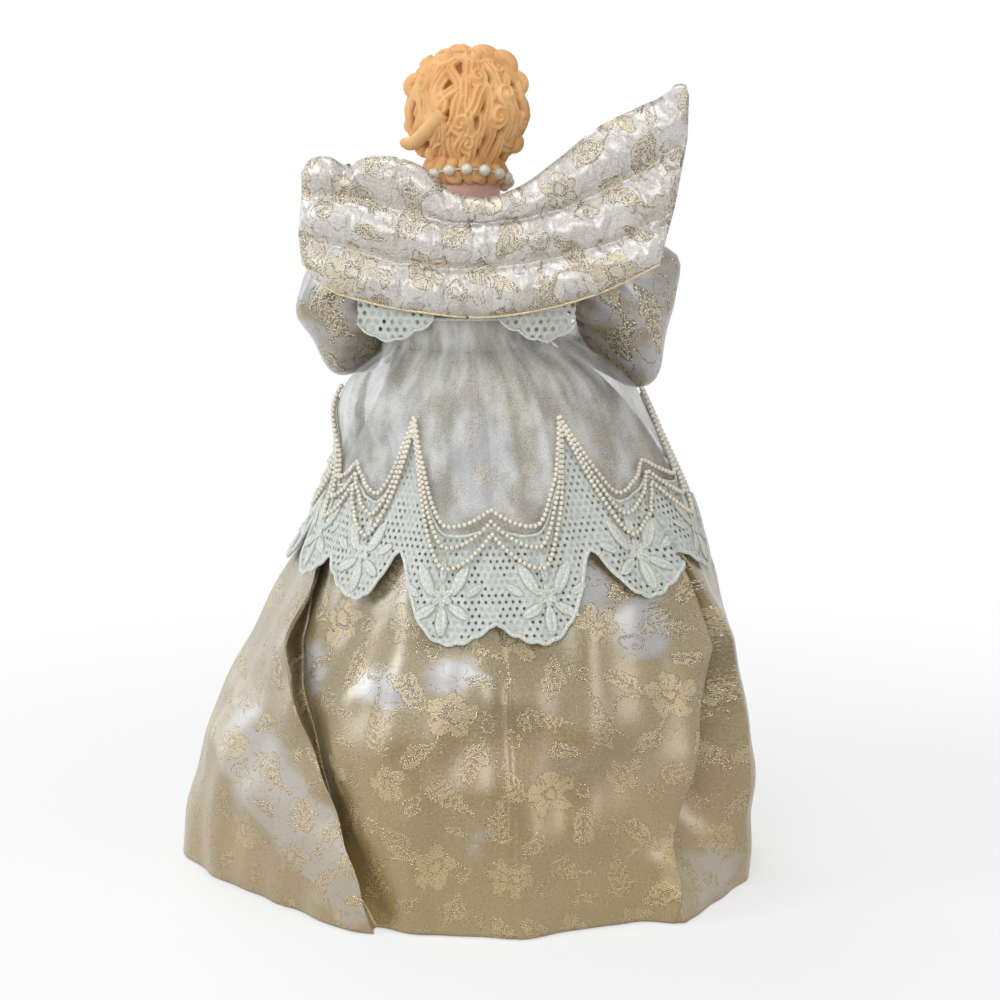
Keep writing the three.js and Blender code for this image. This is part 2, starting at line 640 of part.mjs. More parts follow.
function overlay() {
  const rows = layerRows(() => 0, (angle) => overlayEdge(angle) - CLEARANCE / WAIST);
  return shell(skirtRings(rows, LAYER_EASE + ORGANZA), skirtRings(rows, LAYER_EASE));
}

function overlayLace() {
  const rows = layerRows(overlayEdge, laceEdge);
  return shell(skirtRings(rows, LAYER_EASE + LACE), skirtRings(rows, LAYER_EASE));
}

// A strand of small pearls that hangs in one swag over each lace point, all the way round.
function pearlSwags(hang, rise) {
  const corners = 4;
  const perSwag = 6;
  const count = perSwag * LACE_TIPS;
  const out = LAYER_EASE + Math.max(ORGANZA, LACE) + 2 * CLEARANCE + PEARL_RADIUS;
  const at = (k) => {
    const angle = radians(TRAIN_CENTRE_DEG) + ((k / count) * 2 * Math.PI);
    const fromMiddle = Math.abs(2 * THREE.MathUtils.euclideanModulo(k / perSwag, 1) - 1);
    const drop = OVERLAY_DROP + train(angle) + hang - (hang + rise) * fromMiddle ** 2;
    const bearing = THREE.MathUtils.euclideanModulo(angle, 2 * Math.PI);
    return skirtFacetPoint(bearing, skirtShare(WAIST - drop), out);
  };
  const rings = Array.from({ length: count }, (_, k) => {
    const along = at(k + 1).sub(at(k - 1)).normalize();
    const away = new THREE.Vector3(at(k).x, at(k).y, 0).normalize();
    const side = away.clone().cross(along).normalize();
    return Array.from({ length: corners }, (__, corner) => {
      const turn = (corner / corners) * 2 * Math.PI;
      return at(k)
        .addScaledVector(away, PEARL_RADIUS * Math.cos(turn))
        .addScaledVector(side, PEARL_RADIUS * Math.sin(turn));
    });
  });
  return welded(grid(rings, { closeRow: true, closeRows: true }));
}

// Wings: quilted pads in three channels, the middle sewn to the bodice, a wire in each top channel

const BACK = CHEST_HALF_DEPTH + LAYER_EASE + CLOTH;
const WING_PLANE = BACK + CLEARANCE + WING_CROWN + WING_EDGE;
const WING_REAR = WING_PLANE + WING_CROWN + WING_EDGE;
const SIDES = {
  left: { sign: 1, span: LEFT_WING_SPAN, lift: LEFT_WING_LIFT, rise: LEFT_TIP_RISE,
    shoulder: LEFT_SHOULDER, forward: LEFT_TIP_FORWARD, rounding: LEFT_TIP_ROUNDING, slant: 0 },
  right: { sign: -1, span: RIGHT_WING_SPAN, lift: RIGHT_WING_LIFT, rise: RIGHT_TIP_RISE,
    shoulder: RIGHT_SHOULDER, forward: RIGHT_TIP_FORWARD, rounding: 0, slant: RIGHT_TIP_SLANT },
};

// A channel's crown between its two seams, from 0 at a seam to 1 in the middle.
function channelCrown(across) {
  const seams = [0, ...WING_STITCHES, 1];
  const above = Math.min(seams.length - 1, Math.max(1, seams.findIndex((seam) => seam >= across)));
  const share = (across - seams[above - 1]) / (seams[above] - seams[above - 1]);
  return Math.sqrt(Math.max(0, Math.sin(Math.PI * THREE.MathUtils.clamp(share, 0, 1))));
}

// The middle of the pad at a distance out from the spine, and a share of the way up.
function wingMiddle(side, along, across) {
  const reach = along / side.span;
  const low = WING_BOTTOM + side.lift * reach ** 2;
  const high = WING_BOTTOM + WING_HEIGHT + side.rise * (1 - hump(along, side.shoulder));
  const back = WING_PLANE - side.forward * reach ** 2;
  return new THREE.Vector3(side.sign * along, back, lerp(low, high, across));
}

const WING_ROWS = 13;
const acrossAt = (j) => j / (WING_ROWS - 1);

// One row of a wing from the bottom edge to the top, on its front or its back.
function wingRow(side, along, crown, face) {
  return Array.from({ length: WING_ROWS }, (_, j) => {
    const across = acrossAt(j);
    const half = WING_EDGE + crown * channelCrown(across);
    return wingMiddle(side, along(across), across).add(new THREE.Vector3(0, face * half, 0));
  });
}

// A wing's root slopes away from the hinge line, which leaves it room to bend forward.
function wingPad(side) {
  const steps = 9;
  const relief = Math.tan(radians(WING_RELIEF_DEG));
  const rows = (face) => Array.from({ length: steps + 1 }, (_, i) => {
    const share = i / steps;
    const crown = WING_CROWN * Math.sqrt(1 - share ** 5);
    const along = (across) => {
      const rear = WING_PLANE + face * (WING_EDGE + WING_CROWN * channelCrown(across));
      const root = WING_HINGE_X + CLEARANCE + relief * (WING_REAR - rear);
      const rounding = side.rounding * Math.abs(2 * across - 1) ** 4;
      const slant = side.slant * (1 - across);
      return lerp(root, side.span * (1 - rounding - slant), share);
    };
    return wingRow(side, along, crown, face);
  });
  return slab(rows(-1), rows(1));
}

function wingCentre() {
  const steps = 4;
  const rows = (face) => Array.from({ length: steps + 1 }, (_, i) => {
    const x = lerp(-WING_HINGE_X, WING_HINGE_X, i / steps);
    const side = x < 0 ? SIDES.right : SIDES.left;
    return wingRow(side, () => Math.abs(x), WING_CROWN, face);
  });
  return slab(rows(-1), rows(1));
}

function wingWirePath(side, from, to) {
  const across = lerp(WING_STITCHES[1], 1, 0.5);
  const points = Array.from({ length: 7 }, (_, k) => wingMiddle(side, lerp(from, to, k / 6), across));
  return new THREE.CatmullRomCurve3(points);
}

const WING_DEPTH = 2 * (WING_CROWN + WING_EDGE);
const WIRE_ROOT = WING_HINGE_X + CLEARANCE + WING_DEPTH * Math.tan(radians(WING_RELIEF_DEG));
const wireReach = (side) => 0.8 * side.span;
const wingWire = (side) => rod(wingWirePath(side, WIRE_ROOT, wireReach(side)), WING_WIRE_RADIUS, 10);
function wingWireChannel(side) {
  const path = wingWirePath(side, WING_HINGE_X - CLOTH, wireReach(side) + CLEARANCE);
  return rod(path, WING_WIRE_RADIUS + CLEARANCE, 12);
}

// Arms: a wire from the torso to the hand, a puffed sleeve on it, a lace cuff and a moulded hand

const SLEEVE_ROOT = CHEST_HALF_WIDTH + LAYER_EASE + CLOTH + CLEARANCE;
// Each sleeve's points: out from its root, back, and up from the shoulder, with its radius there.
const ARMS = {
  left: {
    sign: 1,
    points: [[0, 0, 0, 8], [3, 0, 0, 11], [13, 3, -10, 15.5], [15, -3, -20, 14.5], [13, -16, -25, 12],
      [6, -32, -28, 10], [-1, -46, -30, WRIST_RADIUS]],
  },
  right: {
    sign: -1,
    points: [[0, 0, 0, 8], [4, 0, 0, 12], [24, 3, -8, 18.5], [26, -3, -18, 17], [22, -16, -24, 13],
      [14, -33, -28, 10.5], [6, -48, -30, WRIST_RADIUS]],
  },
};

const armPoint = (arm, [out, back, up]) =>
  new THREE.Vector3(arm.sign * (SLEEVE_ROOT + out), back, SHOULDER + up);
const sleevePath = (arm) => new THREE.CatmullRomCurve3(arm.points.map((p) => armPoint(arm, p)));

// The wire runs from inside the torso, along the sleeve's middle, into the hand.
function wirePath(arm) {
  const inside = armPoint(arm, [CHEST_HALF_WIDTH - ARM_WIRE_IN_TORSO - SLEEVE_ROOT, 0, 0]);
  const path = sleevePath(arm);
  const end = path.getPoint(1).addScaledVector(path.getTangent(1), WIRE_IN_HAND);
  return new THREE.CatmullRomCurve3([inside, ...arm.points.map((p) => armPoint(arm, p)), end]);
}

const WIRE_STEPS = 24;
const armWire = (arm) => rod(wirePath(arm), ARM_WIRE_RADIUS, WIRE_STEPS);
const armWireBore = (arm) => rod(wirePath(arm), ARM_WIRE_RADIUS + CLEARANCE, WIRE_STEPS);

// The puffed sleeve, flattened where it lies against the body.
function sleeve(arm) {
  const steps = 13;
  const around = 14;
  const path = sleevePath(arm);
  const frames = path.computeFrenetFrames(steps);
  const last = arm.points.length - 1;
  const rings = Array.from({ length: steps + 1 }, (_, i) => {
    const centre = path.getPointAt(i / steps);
    const at = path.getUtoTmapping(i / steps) * last;
    const low = Math.min(last - 1, Math.floor(at));
    const radius = lerp(arm.points[low][3], arm.points[low + 1][3], at - low);
    return Array.from({ length: around }, (__, k) => {
      const turn = (k / around) * 2 * Math.PI;
      return centre.clone()
        .addScaledVector(frames.normals[i], radius * Math.cos(turn))
        .addScaledVector(frames.binormals[i], radius * Math.sin(turn));
    });
  });
  const bodyRoom = new THREE.BoxGeometry(2 * SLEEVE_ROOT, 2 * (BACK + CLEARANCE), 2 * TORSO_HEIGHT)
    .translate(0, 0, SHOULDER);
  return cut(loft(rings), bodyRoom, armWireBore(arm));
}

// Places a piece that was made along +Z on the end of a sleeve.
function onWrist(arm, geometry) {
  const path = sleevePath(arm);
  const turn = new THREE.Quaternion().setFromUnitVectors(new THREE.Vector3(0, 0, 1), path.getTangent(1));
  const end = path.getPoint(1);
  return geometry.applyQuaternion(turn).translate(end.x, end.y, end.z);
}

function cuff(arm) {
  const count = 3 * CUFF_SCALLOPS;
  const rings = (out) => [0, 0.5, 1].map((share) =>
    Array.from({ length: count }, (_, k) => {
      const angle = (k / count) * 2 * Math.PI;
      const scallop = 1 + CUFF_SCALLOP_DEPTH * share * Math.cos(CUFF_SCALLOPS * angle);
      const radius = (lerp(WRIST_RADIUS, WRIST_RADIUS + CUFF_FLARE, share) + out) * scallop;
      return new THREE.Vector3(
        radius * Math.cos(angle), radius * Math.sin(angle), CLEARANCE + CUFF_LENGTH * share * scallop);
    }));
  return onWrist(arm, shell(rings(0), rings(-LACE)));
}

// A flat mitten of a hand: wrist, palm and closed fingers.
// Each section: share of the length, and shares of the half width and of the half thickness.
const HAND_SECTIONS = [
  [0, 0.62, 0.95],
  [0.2, 0.6, 0.95],
  [0.38, 0.9, 1],
  [0.6, 1, 0.9],
  [0.85, 0.8, 0.6],
  [1, 0.4, 0.35],
];
function hand(arm) {
  const around = 12;
  const rings = HAND_SECTIONS.map(([share, width, thickness]) =>
    Array.from({ length: around }, (_, k) => {
      const angle = (k / around) * 2 * Math.PI;
      return new THREE.Vector3(
        HAND_HALF_WIDTH * width * Math.cos(angle),
        HAND_HALF_THICKNESS * thickness * Math.sin(angle),
        CLEARANCE + HAND_LENGTH * share,
      );
    }));
  const wireEnd = wirePath(arm).getPoint(1);
  const boreEnd = new THREE.IcosahedronGeometry(ARM_WIRE_RADIUS + 2 * CLEARANCE, 1)
    .translate(wireEnd.x, wireEnd.y, wireEnd.z);
  return cut(onWrist(arm, loft(rings)), armWireBore(arm), boreEnd);
}

// Lace that hangs from under the wing at each side of the bodice's back, in two points.
function collarLace(sign) {
  const steps = 10;
  const top = WING_BOTTOM + CLEARANCE;
  const face = (out) => Array.from({ length: steps + 1 }, (_, i) => {
    const share = i / steps;
    const angle = sign * radians(lerp(COLLAR_FROM_DEG, COLLAR_TO_DEG, share));
    const drop = lerp(COLLAR_LEAST_DROP, COLLAR_DROP, Math.abs(Math.sin(2 * Math.PI * share)));
    const room = top - WAIST - 3 * CLEARANCE;
    return [0, 0.5, 1].map((down) => {
      const z = top - Math.min(drop, room) * down;
      const [width, depth] = torsoSection(z - TORSO_BASE);
      const gap = LAYER_EASE + CLOTH + CLEARANCE + out;
      const radius = ellipseRadius(width + gap, depth + gap)(angle);
      return new THREE.Vector3(radius * Math.sin(angle), radius * Math.cos(angle), z);
    });
  });
  return slab(face(0), face(LACE));
}

// The assembly
const angel = new THREE.Group();
const add = (group, name, geometry, material) => {
  const mesh = new THREE.Mesh(geometry, material);
  mesh.name = name;
  group.add(mesh);
};

add(angel, 'tree_cone', treeCone(), CARD);
add(angel, 'torso_form', torsoForm(), FOAM);
add(angel, 'neck_dowel', neckDowel(), WOOD);
add(angel, 'shoulder_plate', shoulderPlate(), SKIN);
add(angel, 'necklace', necklace(), PEARL);
add(angel, 'bodice', bodice(), BROCADE);
add(angel, 'skirt', skirt(), BROCADE);
add(angel, 'overlay', overlay(), SHEER);
add(angel, 'overlay_lace', overlayLace(), WHITE_LACE);
add(angel, 'pearl_swags_upper', pearlSwags(UPPER_SWAG_HANG, UPPER_SWAG_RISE), PEARL);
add(angel, 'pearl_swags_lower', pearlSwags(LOWER_SWAG_HANG, LOWER_SWAG_RISE), PEARL);
add(angel, 'wing_centre', wingCentre(), BROCADE);

const headGroup = new THREE.Group();
headGroup.rotation.z = radians(HEAD_TURN_DEG);
add(headGroup, 'head', head(), SKIN);
add(headGroup, 'hair', hair(), HAIR);
angel.add(headGroup);

for (const [name, side] of Object.entries(SIDES)) {
  add(angel, `${name}_wing`, cut(wingPad(side), wingWireChannel(side)), BROCADE);
  add(angel, `${name}_wing_wire`, wingWire(side), STEEL);
  add(angel, `${name}_collar_lace`, collarLace(side.sign), WHITE_LACE);
}

for (const [name, arm] of Object.entries(ARMS)) {
  add(angel, `${name}_sleeve`, sleeve(arm), BROCADE);
  add(angel, `${name}_arm_wire`, armWire(arm), STEEL);
  add(angel, `${name}_cuff`, cuff(arm), WHITE_LACE);
  add(angel, `${name}_hand`, hand(arm), SKIN);
}

export default angel;
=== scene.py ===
# %% [markdown]
# # A cloth angel for the top of a tree
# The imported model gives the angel's skeleton: a card cone, a foam torso, a head on a dowel, wired wings
# and arms. This lesson dresses it. Every piece is a surface worked out as arrays, in millimetres, in the
# model's own frame: +Z is up, the angel looks towards -Y, and the camera stands behind it, at +Y.

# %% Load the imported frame
import math

import bmesh
import bpy
import numpy as np
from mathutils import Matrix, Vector


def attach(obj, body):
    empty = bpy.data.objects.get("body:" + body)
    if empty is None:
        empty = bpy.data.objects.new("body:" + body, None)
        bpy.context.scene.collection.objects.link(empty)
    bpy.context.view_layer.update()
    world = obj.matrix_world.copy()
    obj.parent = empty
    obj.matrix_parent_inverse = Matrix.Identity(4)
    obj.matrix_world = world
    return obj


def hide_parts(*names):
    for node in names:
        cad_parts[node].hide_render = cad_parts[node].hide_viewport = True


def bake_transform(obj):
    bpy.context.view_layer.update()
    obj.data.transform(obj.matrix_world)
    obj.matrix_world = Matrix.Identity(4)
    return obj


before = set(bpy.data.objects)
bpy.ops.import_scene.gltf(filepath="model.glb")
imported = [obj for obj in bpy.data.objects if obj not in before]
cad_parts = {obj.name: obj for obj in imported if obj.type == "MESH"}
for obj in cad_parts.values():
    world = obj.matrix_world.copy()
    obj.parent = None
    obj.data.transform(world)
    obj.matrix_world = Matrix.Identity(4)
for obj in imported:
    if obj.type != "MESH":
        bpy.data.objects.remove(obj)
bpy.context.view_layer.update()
scene = bpy.context.scene
scene.view_settings.view_transform = "Standard"
MM = 0.001

# %% [markdown]
# ## Camera
# The photograph was taken from behind and a little above, from about a metre away. A long lens keeps the
# skirt's front and back at nearly the same scale. The camera's place follows from the aim, the distance
# and the rise.

# %% Camera
AIM = Vector((-0.0119, 0.0, 0.138))
CAMERA_DISTANCE = 0.960
CAMERA_RISE = math.radians(10)
CAMERA_LENS = 92.8


def look_at(thing, target):
    """Turns a camera or lamp so that its -Z axis points at the target."""
    thing.rotation_euler = (Vector(target) - thing.location).to_track_quat("-Z", "Y").to_euler()


camera = bpy.data.objects.new("camera", bpy.data.cameras.new("camera"))
scene.collection.objects.link(camera)
camera.location = AIM + CAMERA_DISTANCE * Vector((0, math.cos(CAMERA_RISE), math.sin(CAMERA_RISE)))
camera.data.lens = CAMERA_LENS
look_at(camera, AIM)
scene.camera = camera
print("camera at", [round(value, 4) for value in camera.location])

# %% [markdown]
# ## Shader expressions
# A finish such as brocade needs a few hundred nodes. Wiring them by hand hides the idea, so a small class
# wraps one socket: arithmetic on it adds Math nodes, and one method adds any other node.


# %% A socket that takes part in expressions
class Thread:
    """One shader socket in a node tree. Operators add Math nodes; node() adds any other node."""

    def __init__(self, tree, socket=None):
        self.tree = tree
        self.socket = socket

    def node(self, kind, settings=None, values=None, out=0):
        """Adds a node of this type: its settings first, then the values or links of its sockets."""
        made = self.tree.nodes.new(kind)
        for name, value in (settings or {}).items():
            setattr(made, name, value)
        for key, value in (values or {}).items():
            if isinstance(value, Thread):
                self.tree.links.new(value.socket, made.inputs[key])
            else:
                made.inputs[key].default_value = value
        return Thread(self.tree, made.outputs[out])

    def maths(self, operation, *values):
        """A Math node on plain numbers or other threads."""
        return self.node("ShaderNodeMath", {"operation": operation}, dict(enumerate(values)))

    def __add__(self, other):
        return self.maths("ADD", self, other)

    def __sub__(self, other):
        return self.maths("SUBTRACT", self, other)

    def __rsub__(self, other):
        return self.maths("SUBTRACT", other, self)

    def __mul__(self, other):
        return self.maths("MULTIPLY", self, other)

    def __truediv__(self, other):
        return self.maths("DIVIDE", self, other)

    def __pow__(self, other):
        return self.maths("POWER", self, other)

    __radd__ = __add__
    __rmul__ = __mul__

    def least(self, other):
        """The smaller of two values."""
        return self.maths("MINIMUM", self, other)

    def most(self, other):
        """The larger of two values."""
        return self.maths("MAXIMUM", self, other)

    def wave(self):
        """The sine of the value."""
        return self.maths("SINE", self)

    def size(self):
        """The value without its sign."""
        return self.maths("ABSOLUTE", self)

    def part(self):
        """What is left of the value past the whole number below it, from 0 to 1."""
        return self.maths("FRACT", self)

    def step(self, low, high):
        """An S curve from 0 at low to 1 at high."""
        ends = {"Value": self, "From Min": low, "From Max": high, "To Min": 0.0, "To Max": 1.0}
        return self.node("ShaderNodeMapRange", {"interpolation_type": "SMOOTHSTEP"}, ends)

    def between(self, colour, other):
        """The mix of two colours, by this value as the share of the second."""
        return self.node("ShaderNodeMix", {"data_type": "RGBA"}, {0: self, 6: colour, 7: other}, 2)

    def axes(self):
        """The X, Y and Z of a vector as three threads."""
        made = self.node("ShaderNodeSeparateXYZ", None, {0: self}).socket.node
        return [Thread(self.tree, made.outputs[axis]) for axis in range(3)]


def new_finish(name, **constants):
    """A material, a thread in its tree and its shader, with the constants set on the shader's own
    sockets."""
    material = bpy.data.materials.new(name)
    material.use_nodes = True
    shader = material.node_tree.nodes["Principled BSDF"]
    for socket, value in constants.items():
        shader.inputs[socket.replace("_", " ")].default_value = value
    return material, Thread(material.node_tree), shader


def feed(shader, **threads):
    """Links threads to the shader's sockets of those names."""
    for socket, thread in threads.items():
        thread.tree.links.new(thread.socket, shader.inputs[socket.replace("_", " ")])


def raised(ink, height, strength, depth):
    """A normal from a height between 0 and 1, for a relief of that depth in metres."""
    return ink.node("ShaderNodeBump", None, {"Strength": strength, "Distance": depth, "Height": height})


def noise(ink, place, scale, detail=2.0, out=0):
    """Blender's noise at this place; about scale lumps to the metre."""
    return ink.node("ShaderNodeTexNoise", None, {"Vector": place, "Scale": scale, "Detail": detail}, out)


def cloth_place(ink):
    """The place on the flat cloth, in metres."""
    return ink.node("ShaderNodeUVMap", {"uv_map": "cloth"})


def object_place(ink):
    """The place in the piece's own frame, in metres."""
    return ink.node("ShaderNodeTexCoord", None, None, 3)


def point_mark(ink, name):
    """A value that is kept on the mesh's points."""
    return ink.node("ShaderNodeAttribute", {"attribute_name": name}, None, 2)


def rgb(red, green, blue):
    """A colour in linear light from the 0 to 255 values that a picture shows."""
    linear = [((value / 255 + 0.055) / 1.055) ** 2.4 if value > 10 else value / 255 / 12.92
              for value in (red, green, blue)]
    return (*linear, 1.0)


print("thread class ready")

# %% [markdown]
# ## Light, floor and background
# A plain pale studio. Satin shows its folds by the lamps that it mirrors, so there is one lamp for each
# side that has a sheen in the photograph: above the camera, at the left, low at the left, at the right
# and overhead, and one more for the angel's front. A dark card behind the camera, seen only in gloss,
# keeps the smooth back from going white. The sky and the floor show white to the camera, but the light
# they give stays at a plain level, so the cloth renders about as its colours are written. Near the angel
# the floor keeps its soft shadow, and further off it is white.

# %% Light, floor and background
SKY_LEVEL = 0.27
LAMP_AIM = (0, 0, 0.17)
FLOOR_SIZE = 12
FLOOR_NEAR_WHITE = 0.60
FLOOR_WHITENS_FROM = 0.10
FLOOR_WHITE_AT = 0.55
CARD_PLACE = (0, 1.45, 0.14)
CARD_SCALE = (2.6, 0.44, 1.0)


def seen_directly(ink):
    """1 for rays that come from the camera or off gloss or through glass, otherwise 0."""
    path = ink.node("ShaderNodeLightPath").socket.node
    rays = [Thread(ink.tree, path.outputs[name]) for name in
            ("Is Camera Ray", "Is Glossy Ray", "Is Transmission Ray")]
    return rays[0].most(rays[1]).most(rays[2])


world = bpy.data.worlds.new("studio")
world.use_nodes = True
scene.world = world
sky_tree = world.node_tree
sky_ink = Thread(sky_tree)
sky_level = sky_ink.node("ShaderNodeMix", None, {0: seen_directly(sky_ink), 2: SKY_LEVEL, 3: 1.0})
sky_tree.links.new(sky_level.socket, sky_tree.nodes["Background"].inputs["Strength"])
sky_tree.nodes["Background"].inputs["Color"].default_value = (1.0, 1.0, 1.0, 1.0)


def softbox(name, place, size, watts, colour):
    """A square soft lamp at this place, aimed at the angel's waist."""
    lamp = bpy.data.objects.new(name, bpy.data.lights.new(name, "AREA"))
    lamp.data.size = size
    lamp.data.energy = watts
    lamp.data.color = colour
    lamp.location = place
    look_at(lamp, LAMP_AIM)
    scene.collection.objects.link(lamp)


softbox("above_camera", (0.16, 1.12, 0.56), 0.40, 3.0, (0.90, 0.95, 1.0))
softbox("left", (1.02, 0.50, 0.58), 0.42, 5.2, (0.92, 0.955, 1.0))
softbox("right", (-0.90, 0.85, 0.42), 0.40, 2.3, (1.0, 0.98, 0.95))
softbox("overhead", (0.05, 0.28, 1.22), 0.55, 4.6, (0.94, 0.965, 1.0))
softbox("front", (0.35, -1.0, 0.75), 0.7, 3.6, (1.0, 0.99, 0.97))
softbox("low_left", (1.0, -0.66, 0.26), 0.50, 1.5, (0.88, 0.94, 1.0))

floor_finish, floor_ink, floor_shader = new_finish(
    "white_floor", Base_Color=(0.9, 0.9, 0.9, 1.0), Roughness=0.9)
floor_tree = floor_finish.node_tree
glow = floor_ink.node("ShaderNodeEmission", None, {"Color": (1.0, 1.0, 1.0, 1.0), "Strength": 1.0})
floor_place = object_place(floor_ink)
distance = floor_ink.node("ShaderNodeVectorMath", {"operation": "LENGTH"}, {0: floor_place}, 1)
whitening = distance.step(FLOOR_WHITENS_FROM, FLOOR_WHITE_AT) * (1 - FLOOR_NEAR_WHITE)
share_white = seen_directly(floor_ink) * (FLOOR_NEAR_WHITE + whitening)
both = floor_ink.node("ShaderNodeMixShader", None, {0: share_white, 2: glow})
floor_tree.links.new(floor_shader.outputs[0], both.socket.node.inputs[1])
floor_tree.links.new(both.socket, floor_tree.nodes["Material Output"].inputs["Surface"])
bpy.ops.mesh.primitive_plane_add(size=FLOOR_SIZE)
floor = bpy.context.object
floor.name = "floor"
floor.data.materials.append(floor_finish)
bpy.ops.mesh.primitive_plane_add(size=1, location=CARD_PLACE, rotation=(math.pi / 2, 0, 0))
dark_card = bpy.context.object
dark_card.scale = CARD_SCALE
dark_card.visible_camera = False
dark_card.visible_diffuse = False
dark_card.visible_shadow = False
dark_card.name = "dark_card"
card_finish, _, _ = new_finish("dark_card", Base_Color=(0.03, 0.025, 0.02, 1.0), Roughness=0.9)
dark_card.data.materials.append(card_finish)
print("studio: six lamps, a floor and a dark card")

# %% [markdown]
# ## Surfaces from arrays
# Nearly everything on the angel is a sheet or a tube, so one helper is enough: points on a grid become
# faces, with a cloth map in metres so that weave and lace keep their real scale. Rings close on
# themselves where asked.

# %% Surfaces from arrays
UP = np.array((0.0, 0.0, 1.0))


def unit(vectors):
    """Vectors drawn out or in to length 1."""
    return vectors / np.linalg.norm(vectors, axis=-1, keepdims=True)


def hill(gap, width):
    """A round hill of height 1: e to the minus (gap over width) squared."""
    return np.exp(-((gap / width) ** 2))


def rise(low, high, value):
    """An S curve from 0 at low to 1 at high."""
    share = np.clip((value - low) / (high - low), 0, 1)
    return share * share * (3 - 2 * share)


def turn_from(bearing, other):
    """Degrees from one bearing to another, between half a turn either way."""
    return (bearing - other + 180) % 360 - 180


def mesh_piece(name, points, faces, finish, cloth=None, marks=None):
    """A mesh object from points in millimetres and faces of four corners. Equal points are merged,
    which closes poles and seams. The cloth map is in metres, and marks are values kept on the points."""
    mesh = bpy.data.meshes.new(name)
    mesh.from_pydata((points.reshape(-1, 3) * MM).tolist(), [], faces.tolist())
    if cloth is not None:
        layer = mesh.uv_layers.new(name="cloth")
        layer.data.foreach_set("uv", (cloth.reshape(-1) * MM).astype(np.float32))
    for mark, values in (marks or {}).items():
        kind = "FLOAT_COLOR" if np.ndim(values) > 1 and values.shape[-1] == 4 else "FLOAT"
        layer = mesh.attributes.new(mark, kind, "POINT")
        field = "color" if kind == "FLOAT_COLOR" else "value"
        layer.data.foreach_set(field, values.reshape(-1).astype(np.float32))
    work = bmesh.new()
    work.from_mesh(mesh)
    bmesh.ops.remove_doubles(work, verts=work.verts, dist=1e-7)
    work.to_mesh(mesh)
    work.free()
    mesh.polygons.foreach_set("use_smooth", np.ones(len(mesh.polygons), bool))
    mesh.materials.append(finish)
    piece = bpy.data.objects.new(name, mesh)
    scene.collection.objects.link(piece)
    return piece


def grid_corners(rows, columns, wrap):
    """The rows and the columns of each face's four corners. With wrap, a last column joins the first."""
    row, column = np.meshgrid(np.arange(rows - 1), np.arange(columns - (not wrap)), indexing="ij")
    down = np.stack([row, row, row + 1, row + 1], -1).reshape(-1, 4)
    along = np.stack([column, column + 1, column + 1, column], -1).reshape(-1, 4)
    return down, along


def grid_piece(name, points, finish, cloth, wrap=False, marks=None):
    """A sheet or a tube from a grid of points; the cloth map has one column more where the columns wrap."""
    rows, columns = points.shape[:2]
    down, along = grid_corners(rows, columns, wrap)
    return mesh_piece(name, points, down * columns + along % columns, finish, cloth[down, along], marks)


def stack(*parts):
    """Coordinates that may differ in shape, put together as the last axis."""
    return np.stack(np.broadcast_arrays(*parts), -1).astype(float)


def lengths_along(path):
    """The distance from a path's start to each of its points."""
    return np.concatenate([[0], np.cumsum(np.linalg.norm(np.diff(path, axis=0), axis=1))])


def smooth_line(points, samples):
    """A smooth curve through control points, sampled evenly along its chords: between two points,
    a cubic whose slopes are those from the point before to the point after."""
    points = np.asarray(points, float)
    knots = lengths_along(points)
    slopes = np.gradient(points, knots, axis=0)
    at = np.linspace(0, knots[-1], samples) if np.isscalar(samples) else np.asarray(samples) * knots[-1]
    left = np.clip(np.searchsorted(knots, at, side="right") - 1, 0, len(points) - 2)
    gap = (knots[left + 1] - knots[left])[:, None]
    share = (at - knots[left])[:, None] / gap
    start, end = points[left], points[left + 1]
    pull, push = slopes[left] * gap, slopes[left + 1] * gap
    cube, square = share ** 3, share ** 2
    return ((2 * cube - 3 * square + 1) * start + (cube - 2 * square + share) * pull
            + (3 * square - 2 * cube) * end + (cube - square) * push)


print("surface helpers ready")

# %% [markdown]
# ## Brocade
# The gown and the wings are champagne satin with figures woven in: five-petalled flowers, veined leaves,
# fern fronds, stems and scrolls. An image could carry them, but drawn as distances in millimetres they
# stay sharp, keep their scale on every piece and can be raised. The repeat is a half drop: each column is
# set half a repeat lower than the last. The ground is glossy satin and the figures are duller, edged with
# a gilt thread, so they show darker in the sheen and lighter in the shade, as on real brocade. Spots on
# the thread are raised and glossier, and painted pale as glints. Where the cloth shows a broad silvery
# sheen, that sheen is painted into its colour: a value on the mesh's points says where, and streaky noise
# breaks the painted patches up. The cloth is painted a warmer gold towards the hem, where no sheen falls,
# and the wings' ground is painted paler than the gown's, for the sheen that they show.

# %% Brocade figures
REPEAT_ACROSS = 52.0
REPEAT_DOWN = 64.0


def turned(x, y, at, degrees):
    """Distances along and across a figure that is placed at a point and turned."""
    cos, sin = math.cos(math.radians(degrees)), math.sin(math.radians(degrees))
    x, y = x - at[0], y - at[1]
    return x * cos + y * sin, y * cos - x * sin


def from_middle(along, across):
    """The distance and the angle of a point from a figure's middle."""
    reach = ((along * along) + (across * across)) ** 0.5
    return reach, along.maths("ARCTAN2", across, along)


def leaf_figure(x, y, at, degrees, length, half, bow):
    """How far inside a bowed almond leaf: its half width times 1 less (2 along / length) squared, less
    the distance across from its bowed middle. A middle vein and slanting side veins are left out."""
    along, across = turned(x, y, at, degrees)
    share = along * (2 / length)
    across = across - (1 - share * share) * bow
    away = across.size()
    inside = (1 - share * share) * half - away
    slant = (((along - away * 0.9) / 2.9).part() - 0.5).size() * 2.9 - 0.42
    middle_vein = (away - 0.35).most(0.0 - inside)
    side_veins = slant.most(away - half * 0.62).most(0.9 - inside)
    return inside.least(middle_vein).least(side_veins)


